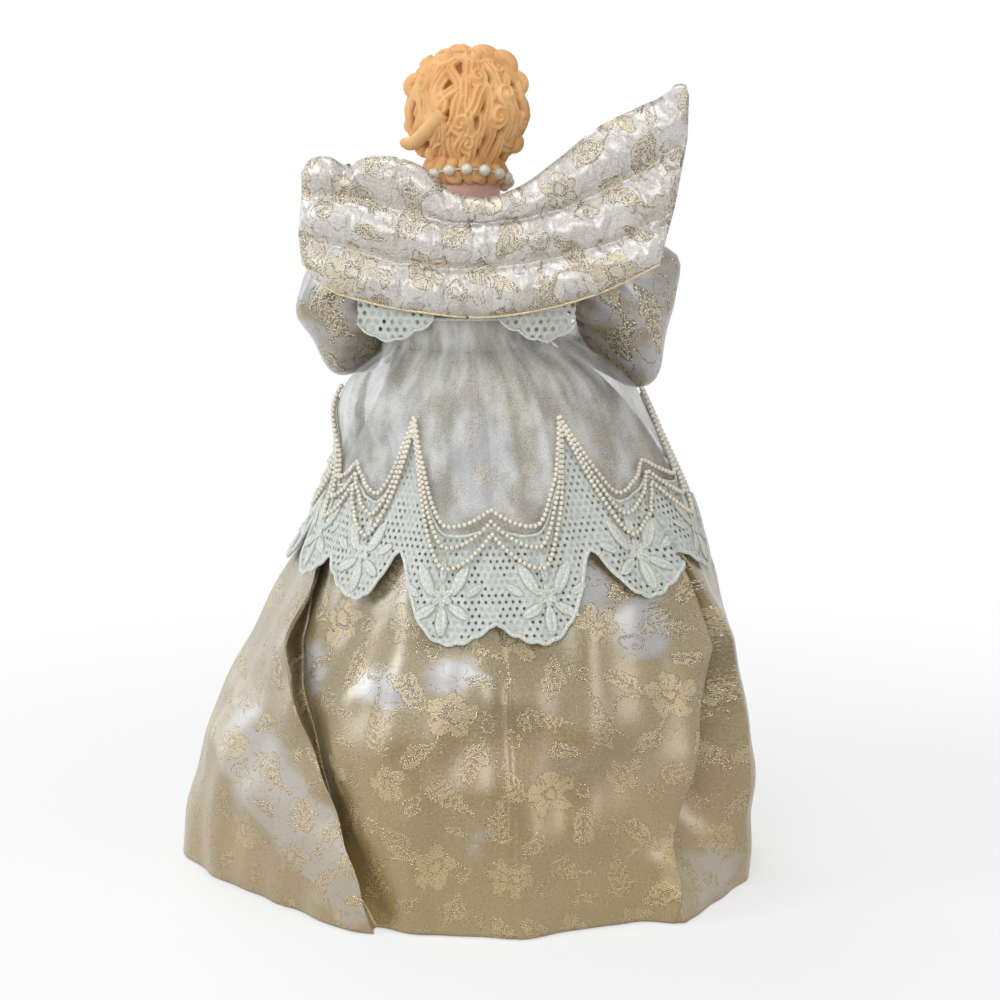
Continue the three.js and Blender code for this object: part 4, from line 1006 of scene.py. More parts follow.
lace_columns = PENDANTS * 48
lace_bearings = np.linspace(-180, 180, lace_columns, endpoint=False) + TRAIN_CENTRE
lace_rows = np.linspace(0, 1, 44)[:, None]
top_drop, bottom_drop = lace_top(lace_bearings), lace_bottom(lace_bearings)
lace_drop = top_drop + (bottom_drop - top_drop) * lace_rows
lace_points = on_overskirt(lace_bearings, lace_drop, 0.5)
lace_cloth = stack(
    np.linspace(0, np.radians(360) * LACE_RADIUS, lace_columns + 1),
    -np.concatenate([lace_drop, lace_drop[:, :1]], 1))
lace = grid_piece("lace_border", lace_points, lace_ground, lace_cloth, wrap=True)
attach(lace, "root")
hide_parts("overlay_lace")
print("lace border:", len(lace.data.polygons), "faces,", PENDANTS, "pendants")

# %% [markdown]
# ## Corded leaves and flowers
# What makes this lace rich is its relief: a flower in each pendant with one leaf down to the tip, two at
# its sides and two large ones that rise to the net, all edged with cord. A leaf is a lens on a small
# grid, bent round the overskirt with everything else because it is drawn in the flat first.

# %% Corded leaves and flowers
LEAF_ROWS = np.linspace(-1, 1, 9)
LEAF_COLUMNS = np.linspace(-1, 1, 7)


def flat_leaf(at, degrees, length, half, tall):
    """A lens in the flat: half width times (1 less the share along squared) to the 0.7, and a height that is
    round across, with a groove along its middle. Gives X to the side, Y down and the lift."""
    along, across = np.meshgrid(LEAF_ROWS, LEAF_COLUMNS, indexing="ij")
    wide = half * (1 - along ** 2) ** 0.7
    round_across = np.sqrt(np.clip(1 - across ** 2, 0, 1))
    lift = tall * round_across * (1 - 0.55 * hill(across, 0.22)) * (1 - along ** 4)
    x, y = across * wide, along * length / 2
    cos, sin = math.cos(math.radians(degrees)), math.sin(math.radians(degrees))
    return stack(at[0] + x * cos + y * sin, at[1] - x * sin + y * cos, lift)


def flat_petals(at, radius, count):
    """A ring of small leaves round a point."""
    petals = []
    for turn in np.arange(count) * 360 / count:
        x = at[0] + 0.55 * radius * math.sin(math.radians(turn))
        y = at[1] + 0.55 * radius * math.cos(math.radians(turn))
        petals.append(flat_leaf((x, y), turn, radius * 1.05, radius * 0.34, 0.9))
    return petals


PENDANT_RELIEF = [
    flat_leaf((0, 5.2), 0, 10.5, 2.5, 1.1),
    flat_leaf((6.2, 1.8), 62, 9.5, 2.0, 1.0),
    flat_leaf((-6.2, 1.8), -62, 9.5, 2.0, 1.0),
    flat_leaf((6.6, -8.6), 148, 13.0, 2.6, 1.1),
    flat_leaf((-6.6, -8.6), -148, 13.0, 2.6, 1.1),
    flat_leaf((0, -11.5), 0, 8.5, 1.7, 0.9),
    flat_leaf((12.2, -5.0), 118, 7.5, 1.6, 0.9),
    flat_leaf((-12.2, -5.0), -118, 7.5, 1.6, 0.9),
    *flat_petals((0, -3.0), 4.0, 6),
]


def lay_on_overskirt(flat, middles, drops):
    """Relief drawn in the flat, repeated at each middle bearing and drop, bent round the overskirt."""
    bearing = middles[:, None, None] + np.degrees(flat[None, ..., 0] / LACE_RADIUS)
    drop = drops[:, None, None] + flat[None, ..., 1]
    return on_overskirt(bearing, drop, 0.62 + flat[None, ..., 2])


def many_grids(name, grids, finish, painted_shade=None):
    """One mesh from many grids of points of one size: an array of shape (copies, rows, columns, 3).
    Painted shade marks how deep in its folds each point lies, for finishes that paint shade there."""
    copies, rows, columns = grids.shape[:3]
    down, along = grid_corners(rows, columns, False)
    faces = down * columns + along
    faces = (np.arange(copies)[:, None, None] * rows * columns + faces[None]).reshape(-1, 4)
    return mesh_piece(name, grids, faces, finish, marks=None if painted_shade is None else {"painted_shade": painted_shade})


pendant_middles = np.interp(np.arange(-7, 8) + 0.5, lace_units(lace_bearings), lace_bearings)
pendant_drops = lace_bottom(pendant_middles) - 11.5
relief_grids = np.concatenate(
    [lay_on_overskirt(leaf, pendant_middles, pendant_drops) for leaf in PENDANT_RELIEF])
# Painted shade along each leaf's edges and its middle groove
leaf_painted_shade = np.broadcast_to(1 - (1 - np.abs(LEAF_COLUMNS) ** 3) * (1 - 0.6 * hill(LEAF_COLUMNS, 0.2)),
                              relief_grids.shape[:3])
relief = many_grids("lace_leaves", relief_grids[:, :, ::-1], cord_white, leaf_painted_shade)
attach(relief, "root")


def tube_grid(path, radius, sides=8, closed=False, away=None):
    """A tube along a path: rings square to the path, whose first point lies to the side of a fixed
    direction, or of the direction away from the angel's axis. The radius is one value, one for each ring
    or one for each point."""
    ahead = np.roll(path, -1, 0) - np.roll(path, 1, 0) if closed else np.gradient(path, axis=0)
    ahead = unit(ahead)
    side = unit(np.cross(ahead, path * (1, 1, 0) + 1e-9 if away is None else away))
    lift = np.cross(ahead, side)
    turn = np.linspace(0, 2 * np.pi, sides, endpoint=False)[None, :, None]
    radius = np.asarray(radius, float)
    radius = (radius if radius.ndim == 2 else radius.reshape(-1, 1))[..., None]
    return path[:, None] + radius * (np.cos(turn) * side[:, None] + np.sin(turn) * lift[:, None])


def pointed(path, rings):
    """The rings of a tube with the path's two ends drawn to points before and after them."""
    sides = rings.shape[1]
    return np.concatenate([path[:1, None].repeat(sides, 1), rings, path[-1:, None].repeat(sides, 1)])


def cord_piece(name, path, radius, finish, sides=8, closed=False):
    """A cord along a path, its ends drawn to points or joined."""
    rings = tube_grid(path, radius, sides, closed)
    rings = np.concatenate([rings, rings[:1]]) if closed else pointed(path, rings)
    cloth = stack(*np.meshgrid(np.arange(len(rings)), np.arange(sides + 1), indexing="ij"))
    return grid_piece(name, rings, finish, cloth, wrap=True)


edge_bearings = np.linspace(-180, 180, PENDANTS * 60, endpoint=False) + TRAIN_CENTRE
edge_path = on_overskirt(edge_bearings, lace_bottom(edge_bearings), 0.7)
edge_cord = cord_piece("lace_edge_cord", edge_path, 0.75, cord_white, 6, closed=True)
top_path = on_overskirt(edge_bearings, lace_top(edge_bearings), 0.8)
top_cord = cord_piece("lace_top_cord", top_path, 0.6, cord_white, 6, closed=True)
for cord in (edge_cord, top_cord):
    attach(cord, "root")
print("relief:", len(relief.data.polygons), "faces")

# %% [markdown]
# ## Pearl swags
# Small pearls on threads hang in swags over the lace, from peak to seam and seam to peak. A bead is a
# ball of a few dozen faces, copied along each strand at its own diameter.

# %% Pearl swags
PEARL_RADIUS = 0.92
# Each strand: how far it hangs below the lace's top edge, and its rise to the seam and to the peak
UPPER_STRANDS = ((-1.0, 9.0, 33.0), (6.0, 5.0, 31.0))
LOWER_STRANDS = ((13.0, 1.0, 29.0),)


def ball(rows, columns, closed=False):
    """A unit ball as a grid from pole to pole. Where it is closed, the last column repeats the first."""
    down, turn = np.meshgrid(
        np.linspace(0, np.pi, rows), np.linspace(0, 2 * np.pi, columns, endpoint=closed), indexing="ij")
    return stack(np.sin(down) * np.cos(turn), -np.sin(down) * np.sin(turn), np.cos(down))


def beads(name, places, radius, finish, rows=7, columns=9):
    """A ball of this radius at each place, as one mesh."""
    return many_grids(name, places[:, None, None] + radius * ball(rows, columns, True)[None], finish)


def evenly(path, gap):
    """Points along a path, a fixed distance apart."""
    lengths = lengths_along(path)
    at = np.arange(0, lengths[-1], gap)
    return np.stack([np.interp(at, lengths, path[:, axis]) for axis in range(3)], -1)


def swag_strand(hang, seam_rise, peak_rise):
    """Pearl places all round: in each pendant the drop is a parabola that hangs below the lace's top edge
    and rises to the seam on one side and to the peak on the other."""
    bearing = np.linspace(-180, 180, PENDANTS * 80, endpoint=False) + TRAIN_CENTRE
    within, deep = unit_place(bearing)
    top = seam_rise + deep * (peak_rise - seam_rise)
    drop = OVERLAY_DROP + train(bearing) + hang - (hang + top) * np.abs(within) ** 1.5
    return evenly(on_overskirt(bearing, drop, 1.9), 2.05 * PEARL_RADIUS)


for swag_name, node, strands in (("upper_pearl_swags", "pearl_swags_upper", UPPER_STRANDS),
                                 ("lower_pearl_swags", "pearl_swags_lower", LOWER_STRANDS)):
    pearl_places = np.concatenate([swag_strand(*strand) for strand in strands])
    pearls = beads(swag_name, pearl_places, PEARL_RADIUS, pearl)
    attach(pearls, "root")
    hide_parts(node)
    print(swag_name, len(pearls.data.polygons), "faces")

# %% [markdown]
# ## The wings
# Both wings are one long quilted pad, stitched in three channels and stuffed, with its middle sewn to the
# bodice. Stuffed cloth is what cloth simulation does best: the outline and the stitch lines are pinned,
# the cloth is cut slightly too large, and pressure fills the channels, which puckers it along the seams.
# The four seam lines are smooth curves through points read off the photograph.

# %% Blowing up sewn cloth
SIM_SCALE = 20.0


def positions(mesh):
    """The mesh's points as an array, in metres."""
    flat = np.empty(len(mesh.vertices) * 3)
    mesh.vertices.foreach_get("co", flat)
    return flat.reshape(-1, 3)


def fill_with_wadding(piece, sewn, pressure, growth, frames, reach):
    """Cloth simulation at a larger scale, where the solver is steady: sewn points stay, the cloth grows
    by a share, and pressure pushes it out. No point moves more than reach, in millimetres."""
    mesh = piece.data
    before = positions(mesh)
    mesh.vertices.foreach_set("co", (before * SIM_SCALE).ravel())
    group = piece.vertex_groups.new(name="sewn")
    group.add(np.flatnonzero(sewn > 0.5).tolist(), 1.0, "REPLACE")
    cloth = piece.modifiers.new("wadding", "CLOTH")
    cloth.settings.vertex_group_mass = "sewn"
    cloth.settings.effector_weights.gravity = 0
    cloth.settings.use_pressure = True
    cloth.settings.uniform_pressure_force = pressure
    cloth.settings.shrink_min = -growth
    cloth.settings.quality = 6
    cloth.settings.mass = 0.3
    cloth.settings.tension_stiffness = 30
    cloth.settings.compression_stiffness = 30
    cloth.settings.bending_stiffness = 0.3
    cloth.collision_settings.use_collision = False
    for number in range(1, frames + 1):
        scene.frame_set(number)
    shown = piece.evaluated_get(bpy.context.evaluated_depsgraph_get())
    move = positions(shown.data) / SIM_SCALE - before
    piece.modifiers.remove(cloth)
    piece.vertex_groups.clear()
    scene.frame_set(1)
    length = np.linalg.norm(move, axis=1, keepdims=True)
    move = move * np.minimum(1, reach * MM / np.maximum(length, 1e-9))
    mesh.vertices.foreach_set("co", (before + move).ravel())
    mesh.update()
    return length.max() / MM


print("simulation helper ready")

# %% The wings
WING_PLANE = 35.5
WING_COLUMNS = 120
CHANNEL_ROWS = 12
WING_CLOTH_SHIFT = (17.0, 9.0)
# X and Z along the lower edge, the two stitch lines and the upper edge, from the left tip to the right
WING_SEAMS = [
    ((58.8, 229), (50.2, 220.2), (34.4, 215), (13.4, 211.4), (-4.2, 210), (-25.3, 212.5),
     (-46.3, 218.5), (-68, 229)),
    ((59.8, 238.2), (41, 234), (23.7, 229.5), (6.3, 227.8), (-11.1, 228.4), (-32, 231.9),
     (-52.8, 238.2), (-73.2, 249.5)),
    ((58.4, 253.4), (40.9, 252), (23.6, 247.9), (6.2, 244.4), (-11.1, 244.4), (-31.9, 248.5),
     (-52.6, 257.2), (-77.2, 272.8)),
    ((58.5, 260.3), (54.3, 266), (48, 266), (42.8, 263.4), (37, 266.2), (30.6, 266.8), (15, 262.7),
     (6.3, 255.1), (-7.7, 252.3), (-18.1, 255.8), (-32, 265.5), (-45.8, 276.5), (-59.6, 283.4),
     (-68.2, 287.4), (-73.4, 291.6), (-76.2, 291.4), (-77.6, 287.6)),
]
wing_share = np.linspace(0, 1, WING_COLUMNS)


def seam_heights(seam):
    """X and Z along a seam line, at even steps of X from the left end to the right end."""
    fine = smooth_line(seam, 600)
    x = fine[0, 0] + (fine[-1, 0] - fine[0, 0]) * wing_share
    return stack(x, np.interp(-x, -fine[:, 0], fine[:, 1]))


seams = np.stack([seam_heights(seam) for seam in WING_SEAMS])
row_shares = np.linspace(0, 3, 3 * CHANNEL_ROWS + 1)
lower = np.minimum(np.floor(row_shares).astype(int), 2)
in_channel = row_shares - lower
face_grid = seams[lower] + (seams[lower + 1] - seams[lower]) * in_channel[:, None, None]
end_taper = (1 - np.abs(2 * wing_share - 1) ** 10) ** 0.5
crown = np.sqrt(np.sin(np.pi * np.clip(in_channel, 0, 1)))[:, None] * end_taper
start_height = 3.4
crown_start = 0.35 * end_taper + start_height * crown
ring_rows = np.concatenate([np.arange(len(row_shares)), np.arange(len(row_shares) - 2, 0, -1)])
ring_side = np.where(np.arange(len(ring_rows)) < len(row_shares), -1.0, 1.0)[:, None]
is_border = np.isin(ring_rows, (0, len(row_shares) - 1))[:, None]
ring_y = np.where(is_border, 0, ring_side * crown_start[ring_rows])
ring_points = stack(face_grid[ring_rows, :, 0], ring_y, face_grid[ring_rows, :, 1]).transpose(1, 0, 2)
on_tip = np.isin(np.arange(WING_COLUMNS), (0, WING_COLUMNS - 1))
on_seam = (ring_rows % CHANNEL_ROWS == 0)[None, :] | on_tip[:, None]
ring_count = len(ring_rows)
wing_cloth = np.concatenate([ring_points, ring_points[:, :1]], 1)[..., [0, 2]] + WING_CLOTH_SHIFT
wing_pad = grid_piece("wing_pad", ring_points, wing_brocade, wing_cloth, wrap=True,
                      marks={"sewn": on_seam.astype(float), "along": np.repeat(wing_share, ring_count)})


def mark_values(mesh, name):
    """The values of a mark on the mesh's points."""
    values = np.empty(len(mesh.vertices), np.float32)
    mesh.attributes[name].data.foreach_get("value", values)
    return values


moved = fill_with_wadding(
    wing_pad, mark_values(wing_pad.data, "sewn"), pressure=5.0, growth=0.07, frames=24, reach=5.0)
print("wadding moved the cloth by up to", round(moved, 2), "mm")
print("wing pad:", len(wing_pad.data.polygons), "faces")

# %% [markdown]
# ## Bending and splitting the wings
# The left wing bends forward and the right one back a little, so the flat pad is bent after it is filled.
# It moves at two hinges, so the pad is split at the spine. Both
# halves keep the whole pad's normals, which hides the split.

# %% Bending and splitting the wings
LEFT_BEND = (60.0, 9.0)
RIGHT_BEND = (76.0, -4.0)


def bend_back(x):
    """How far behind the axis the pad's middle lies at a distance along: a parabola to each tip."""
    left = LEFT_BEND[1] * (np.clip(x, 0, None) / LEFT_BEND[0]) ** 2
    right = RIGHT_BEND[1] * (np.clip(-x, 0, None) / RIGHT_BEND[0]) ** 2
    return WING_PLANE - left - right


def pucker(x, z):
    """Short ripples of the cloth across each stitch line, fading away from it."""
    nearest = np.min([np.abs(z - np.interp(-x, -seam[:, 0], seam[:, 1])) for seam in seams[1:3]], axis=0)
    phase = 2 * np.pi * (x / 4.6 + 0.35 * np.sin(x / 7.0) + 0.2 * np.sin(z / 3.0))
    return 0.34 * np.sin(phase) * np.exp(-nearest / 3.4) * rise(0.2, 1.6, nearest)


points = positions(wing_pad.data) / MM
normals = np.empty(len(points) * 3)
wing_pad.data.vertex_normals.foreach_get("vector", normals)
facing = np.sign(normals.reshape(-1, 3)[:, 1])
crease = 2.6 * hill(points[:, 0] - 43.0, 3.0) * rise(250, 262, points[:, 2]) * (facing > 0)
points[:, 1] += bend_back(points[:, 0]) + facing * pucker(points[:, 0], points[:, 2]) - crease
wing_pad.data.vertices.foreach_set("co", (points * MM).ravel())
wing_pad.data.update()
wing_pad.data.vertex_normals.foreach_get("vector", normals)
normals = normals.reshape(-1, 3)
corners = np.empty(len(wing_pad.data.loops), np.int32)
wing_pad.data.loops.foreach_get("vertex_index", corners)
corners = corners.reshape(-1, 4)
cloth_corners = np.empty(len(wing_pad.data.loops) * 2, np.float32)
wing_pad.data.uv_layers["cloth"].data.foreach_get("uv", cloth_corners)
cloth_corners = cloth_corners.reshape(-1, 4, 2) / MM
spine = wing_share[np.argmin(np.abs(face_grid[CHANNEL_ROWS, :, 0]))]
face_along = mark_values(wing_pad.data, "along")[corners].mean(1)
bpy.data.objects.remove(wing_pad)
wing_pieces = {"left": [], "right": []}
for side, chosen, nodes in (("left", face_along < spine, ("left_wing", "wing_centre")),
                            ("right", face_along > spine, ("right_wing",))):
    used, local = np.unique(corners[chosen], return_inverse=True)
    half = mesh_piece(
        f"{side}_wing_pad", points[used], local.reshape(-1, 4), wing_brocade, cloth_corners[chosen])
    half.data.normals_split_custom_set_from_vertices(normals[used].tolist())
    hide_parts(*nodes)
    wing_pieces[side].append(half)
    print(half.name, len(half.data.polygons), "faces")

# %% [markdown]
# ## Stitches and welt
# Pale gold thread holds the channels, and a welt closes the pad's lower edge. A stitch is a short bead
# laid along its seam, and the seams' own curves place them.

# %% Stitches and welt
STITCH_PITCH = 2.1
STITCH_LENGTH = 1.5
STITCH_RADIUS = 0.34


def wing_line(seam, out):
    """A seam line in the bent pad, moved behind it by a distance."""
    return stack(seam[:, 0], bend_back(seam[:, 0]) + out, seam[:, 1])


def dashes(path, length, radius):
    """Short beads along a path, as grids: a ball drawn out along the path's own direction."""
    middles = evenly(path, STITCH_PITCH)[1:-1]
    ahead = unit(np.gradient(middles, axis=0))
    side = unit(np.cross(ahead, (0.0, 1.0, 0.0)))
    lift = np.cross(side, ahead)
    bead = ball(5, 7, True)
    return (middles[:, None, None] + radius * bead[None, ..., :1] * side[:, None, None]
            + radius * bead[None, ..., 1:2] * lift[:, None, None]
            + length / 2 * bead[None, ..., 2:] * ahead[:, None, None])


stitch_lines = [wing_line(seam, out) for seam in seams[1:3] for out in (0.55, -0.55)]
stitch_grids = np.concatenate([dashes(line, STITCH_LENGTH, STITCH_RADIUS) for line in stitch_lines])
for side, chosen in (("left", stitch_grids[:, 2, 0, 0] > 0), ("right", stitch_grids[:, 2, 0, 0] <= 0)):
    wing_pieces[side].append(many_grids(f"{side}_wing_stitches", stitch_grids[chosen], gold_thread))
    edge = seams[0][seams[0][:, 0] > 0] if side == "left" else seams[0][seams[0][:, 0] <= 0]
    wing_pieces[side].append(cord_piece(f"{side}_wing_welt", wing_line(edge, 0.2), 0.55, gold_thread, 6))
for side, sign in (("left", 1), ("right", -1)):
    for piece in wing_pieces[side]:
        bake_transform(piece)
print("stitches:", len(stitch_grids))

# %% [markdown]
# ## The sleeves
# Puffed brocade sleeves stand out on their arm wires, gathered at the armhole and at the cuff. A sleeve
# is a tube along the arm, with pleats at both ends, and the same cloth simulation lets it swell and
# crease between them. Its underside sags in a pouch, and the right sleeve has the sharp corner that the
# photograph shows at its head.

# %% The sleeves
SHOULDER_HEIGHT = 226.3
SLEEVE_ROOT = 31.0
SLEEVE_ROWS = 64
SLEEVE_SIDES = 88
# An even share of painted sheen on the sleeves' cloth
SLEEVE_PAINTED_SHEEN = 0.4
# Each arm's side and its sections: distances out, back and up from the shoulder, and the sleeve's radius
ARMS = {
    "left": (1, ((0, 0, 0, 8), (3, 0, 0, 11), (13, 3, -10, 15.5), (15, -3, -20, 14.5), (13, -16, -25, 12),
                 (6, -32, -28, 10), (-1, -46, -30, 7.5))),
    "right": (-1, ((0, 0, 0, 8), (4, 0, 0, 12), (24, 3, -8, 18.5), (26, -3, -18, 17), (22, -16, -24, 13),
                   (14, -33, -28, 10.5), (6, -48, -30, 7.5))),
}
# Each sleeve's side, the phase of its folds, how far its corner stands out and how its underside sags
SLEEVE_PLAN = (("left", 0.6, 0.0, (-4.5, 0.0, -5.5)), ("right", 2.1, 6.0, (-4.5, 0.0, -9.0)))


def arm_line(side, samples):
    """Points along an arm and the sleeve's radius at each, as a smooth line through the arm's sections."""
    sign, sections = ARMS[side]
    line = smooth_line([(sign * (SLEEVE_ROOT + out), back, SHOULDER_HEIGHT + up, radius)
                        for out, back, up, radius in sections], samples)
    return line[:, :3], line[:, 3]


def sleeve_folds(turn, share, phase):
    """Pleats at the armhole, long creases that wind round the middle, and gathers at the cuff: three sine
    waves, each with its own stretch of the sleeve."""
    head = 1.0 * np.sin(11 * turn + 5 * share + phase) * hill(share - 0.13, 0.12)
    middle = 1.5 * np.sin(4 * turn - 10 * share + 2 * phase) * hill(share - 0.45, 0.20)
    wrist = 0.7 * np.sin(14 * turn + phase) * rise(0.70, 0.95, share)
    return head + middle + wrist


sleeve_turn = np.linspace(0, 2 * np.pi, SLEEVE_SIDES, endpoint=False)
sleeve_share = np.linspace(0, 1, SLEEVE_ROWS)[:, None]
for side, phase, corner, pouch in SLEEVE_PLAN:
    path, radius = arm_line(side, SLEEVE_ROWS)
    sign = ARMS[side][0]
    wide = radius[:, None] - 1.0 + sleeve_folds(sleeve_turn, sleeve_share, phase)
    rings = tube_grid(path, wide, SLEEVE_SIDES, away=np.array((sign * 1.0, 0.0, 1.0)))
    peak = hill(np.linalg.norm(rings - (sign * 74.0, 6.0, 224.0), axis=2), 9.0)[..., None]
    rings = rings + corner * peak * (sign * 0.7, 0.35, 0.55)
    below = rise(0.0, 1.0, (path[:, None, 2] - rings[..., 2]) / np.maximum(wide, 1.0))
    rings = rings + (hill(sleeve_share - 0.52, 0.20) * below)[..., None] * pouch
    cloth = stack(np.linspace(0, 84, SLEEVE_SIDES + 1) + 13, -lengths_along(path)[:, None] * 1.15)
    rings = pointed(path, rings)
    cloth = np.concatenate([cloth[:1], cloth, cloth[-1:]])
    pinned = np.isin(np.arange(SLEEVE_ROWS + 2), (0, 1, 2, SLEEVE_ROWS - 1, SLEEVE_ROWS, SLEEVE_ROWS + 1))
    marks = {"sewn": np.repeat(pinned, SLEEVE_SIDES).astype(float),
             "painted_sheen": np.full(rings.shape[:2], SLEEVE_PAINTED_SHEEN)}
    sleeve = grid_piece(f"{side}_sleeve_cloth", rings, brocade, cloth, wrap=True, marks=marks)
    moved = fill_with_wadding(
        sleeve, mark_values(sleeve.data, "sewn"), pressure=2.5, growth=0.10, frames=22, reach=3.0)
    print("the sleeve swelled by up to", round(moved, 2), "mm")
    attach(sleeve, f"{side}_arm")
    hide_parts(f"{side}_sleeve")
    print(sleeve.name, len(sleeve.data.polygons), "faces")

# %% [markdown]
# ## Cuffs and hands
# Neither shows in the photograph. A ruffle of the same lace closes each sleeve, and a small moulded hand
# comes out of it, as on most such dolls. The ruffle is a cone of lace whose radius waves; each finger is
# a tapered tube.

# %% Cuffs
CUFF_LENGTH = 9.0
CUFF_RADIUS = 7.7
CUFF_FLARE = 5.2
CUFF_ROWS = 14
CUFF_SIDES = 160


def wrist(side):
    """The middle of the sleeve's end and the arm's direction there."""
    path, _ = arm_line(side, SLEEVE_ROWS)
    ahead = path[-1] - path[-2]
    return path[-1], ahead / np.linalg.norm(ahead)


for side in ARMS:
    end, ahead = wrist(side)
    share = np.linspace(0, 1, CUFF_ROWS)[:, None]
    turn = np.linspace(0, 2 * np.pi, CUFF_SIDES, endpoint=False)
    scallop = 0.8 * np.abs(np.sin(8 * turn))
    wide = CUFF_RADIUS + CUFF_FLARE * share ** 0.8 + 0.9 * share * np.sin(16 * turn) + scallop * share ** 4
    rings = tube_grid(end + ahead * (share * CUFF_LENGTH + 0.3), wide, CUFF_SIDES, away=UP)
    cloth = stack(np.linspace(0, 70, CUFF_SIDES + 1), -11 * share)
    cuff = grid_piece(f"{side}_cuff_lace", rings, collar_ground, cloth, wrap=True)
    hem = cord_piece(f"{side}_cuff_cord", rings[-1], 0.5, cord_white, 6, closed=True)
    for piece in (cuff, hem):
        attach(piece, f"{side}_arm")
    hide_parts(f"{side}_cuff")
print("two cuffs")

# %% [markdown]
# ## Skin and hands
# Head, shoulder plate and hands are painted resin: a matt pink with a little mottling. The hand is a palm
# and five tapered tubes, the fingers slightly bent and apart, all closed and sunk into one another.

# %% Skin and hands
skin, ink, shader = new_finish("painted_skin", Specular_IOR_Level=0.4)
place = object_place(ink)
mottle = noise(ink, place, 120, 3.0)
grain = noise(ink, place, 1500, 2.0)
paint = ink.node("ShaderNodeVertexColor", {"layer_name": "paint"})
paint_share = ink.node("ShaderNodeVertexColor", {"layer_name": "paint"}, None, 1)
plain_skin = mottle.step(0.3, 0.7).between(rgb(228, 184, 168), rgb(238, 200, 186))
feed(shader, Base_Color=paint_share.between(plain_skin, paint), Roughness=0.42 + mottle * 0.16,
     Normal=raised(ink, grain, 0.15, 0.0002))


def closed_tube(path, radius, sides, away):
    """A tube whose ends are drawn to points, as a grid with its first column repeated."""
    rings = pointed(path, tube_grid(path, radius, sides, away=away))
    return np.concatenate([rings, rings[:, :1]], 1)


def round_ends(share, power):
    """1 along the middle of a finger, falling to 0 at its tip like a rounded end."""
    return np.sqrt(np.clip(1 - share ** power, 0, 1))


# Each finger: place across the palm, start, length, thickness, and how far it splays in degrees
FINGERS = ((-4.1, 9.0, 10.0, 1.35, -7), (-1.4, 9.6, 12.0, 1.4, -2),
           (1.35, 9.5, 11.4, 1.4, 2), (4.0, 8.8, 9.0, 1.25, 8))
FINGER_ROWS = 12
HAND_SIDES = 14
FINGER_SHARE = np.linspace(0, 1, FINGER_ROWS)
hand_turn = np.linspace(0, 2 * np.pi, HAND_SIDES, endpoint=False)


def in_hand(axes, x, forward, lift):
    """A place in the hand: across it, forward from the wrist, and over its back, by the hand's own axes."""
    end, across, ahead, over = axes
    sideways = np.multiply.outer(x, across)
    return end + sideways + np.multiply.outer(forward, ahead) + np.multiply.outer(lift, over)


for side, (sign, _) in ARMS.items():
    end, ahead = wrist(side)
    across = np.cross(ahead, UP)
    across = across / np.linalg.norm(across)
    over = np.cross(across, ahead)
    axes = (end, across, ahead, over)
    palm_half = np.interp(FINGER_SHARE, (0, 0.25, 0.6, 0.9, 1), (3.6, 3.9, 5.4, 5.5, 3.2))
    palm_thick = np.interp(FINGER_SHARE, (0, 0.3, 0.7, 1), (3.0, 2.9, 2.5, 1.4))
    palm_wide = 1 / np.hypot(np.cos(hand_turn) / palm_half[:, None], np.sin(hand_turn) / palm_thick[:, None])
    flat = np.zeros(FINGER_ROWS)
    palm = in_hand(axes, flat, -2.0 + 13.0 * FINGER_SHARE, flat)
    parts = [closed_tube(palm, palm_wide, HAND_SIDES, over)]
    for x, start, length, thick, splay in FINGERS:
        reach = FINGER_SHARE * length
        bent = -2.4 * FINGER_SHARE ** 2
        line = in_hand(axes, x + reach * math.sin(math.radians(splay)), start + reach, bent)
        wide = thick * round_ends(FINGER_SHARE, 5) * (1 - 0.2 * FINGER_SHARE)
        parts.append(closed_tube(line, wide, HAND_SIDES, over))
    aside = -sign * (3.6 + 4.6 * FINGER_SHARE ** 0.8)
    thumb = in_hand(axes, aside, 2.5 + 9.0 * FINGER_SHARE, -1.6 * FINGER_SHARE)
    wide = 1.7 * round_ends(FINGER_SHARE, 5) * (1 - 0.15 * FINGER_SHARE)
    parts.append(closed_tube(thumb, wide, HAND_SIDES, over))
    hand = many_grids(f"{side}_hand_skin", np.stack(parts), skin)
    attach(hand, f"{side}_arm")
    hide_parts(f"{side}_hand")
    print(hand.name, len(hand.data.polygons), "faces")

# %% [markdown]
# ## The head
# The photograph shows no face, so this one is plain: closed eyes halfway up the head, the nose halfway
# from there to the chin and the mouth a third below it. Each feature is a round hill pushed out of, or
# into, an egg. Lips, lashes, brows and blush are colours kept on the points.

# %% The head
HEAD_TURN = math.radians(35)
HEAD_BASE = 252.9
SKULL_CENTRE = 278.9
HEAD_ROWS = 130
HEAD_COLUMNS = 180
NECK_RADIUS = 12.0
NECK_LENGTH = 14
NECK_ROWS = 12
NECK_SIDES = 64


def head_turned(points):
    """Turns points about the dowel, from straight ahead to the way the head is turned."""
    cos, sin = math.cos(HEAD_TURN), math.sin(HEAD_TURN)
    x, y, z = np.moveaxis(points, -1, 0)
    return stack(x * cos - y * sin, x * sin + y * cos, z)


def skull(direction, grow):
    """An egg grown by a distance, along unit directions: its jaw is drawn in and comes forward."""
    x, y, z = np.moveaxis(direction, -1, 0)
    jaw = np.clip(-z, 0, None)
    return stack(x * (17.5 + grow) * (1 - 0.22 * jaw), y * (19.5 + grow) * (1 - 0.12 * jaw) - 2 - 1.5 * jaw,
                 z * (22 + grow) + SKULL_CENTRE)


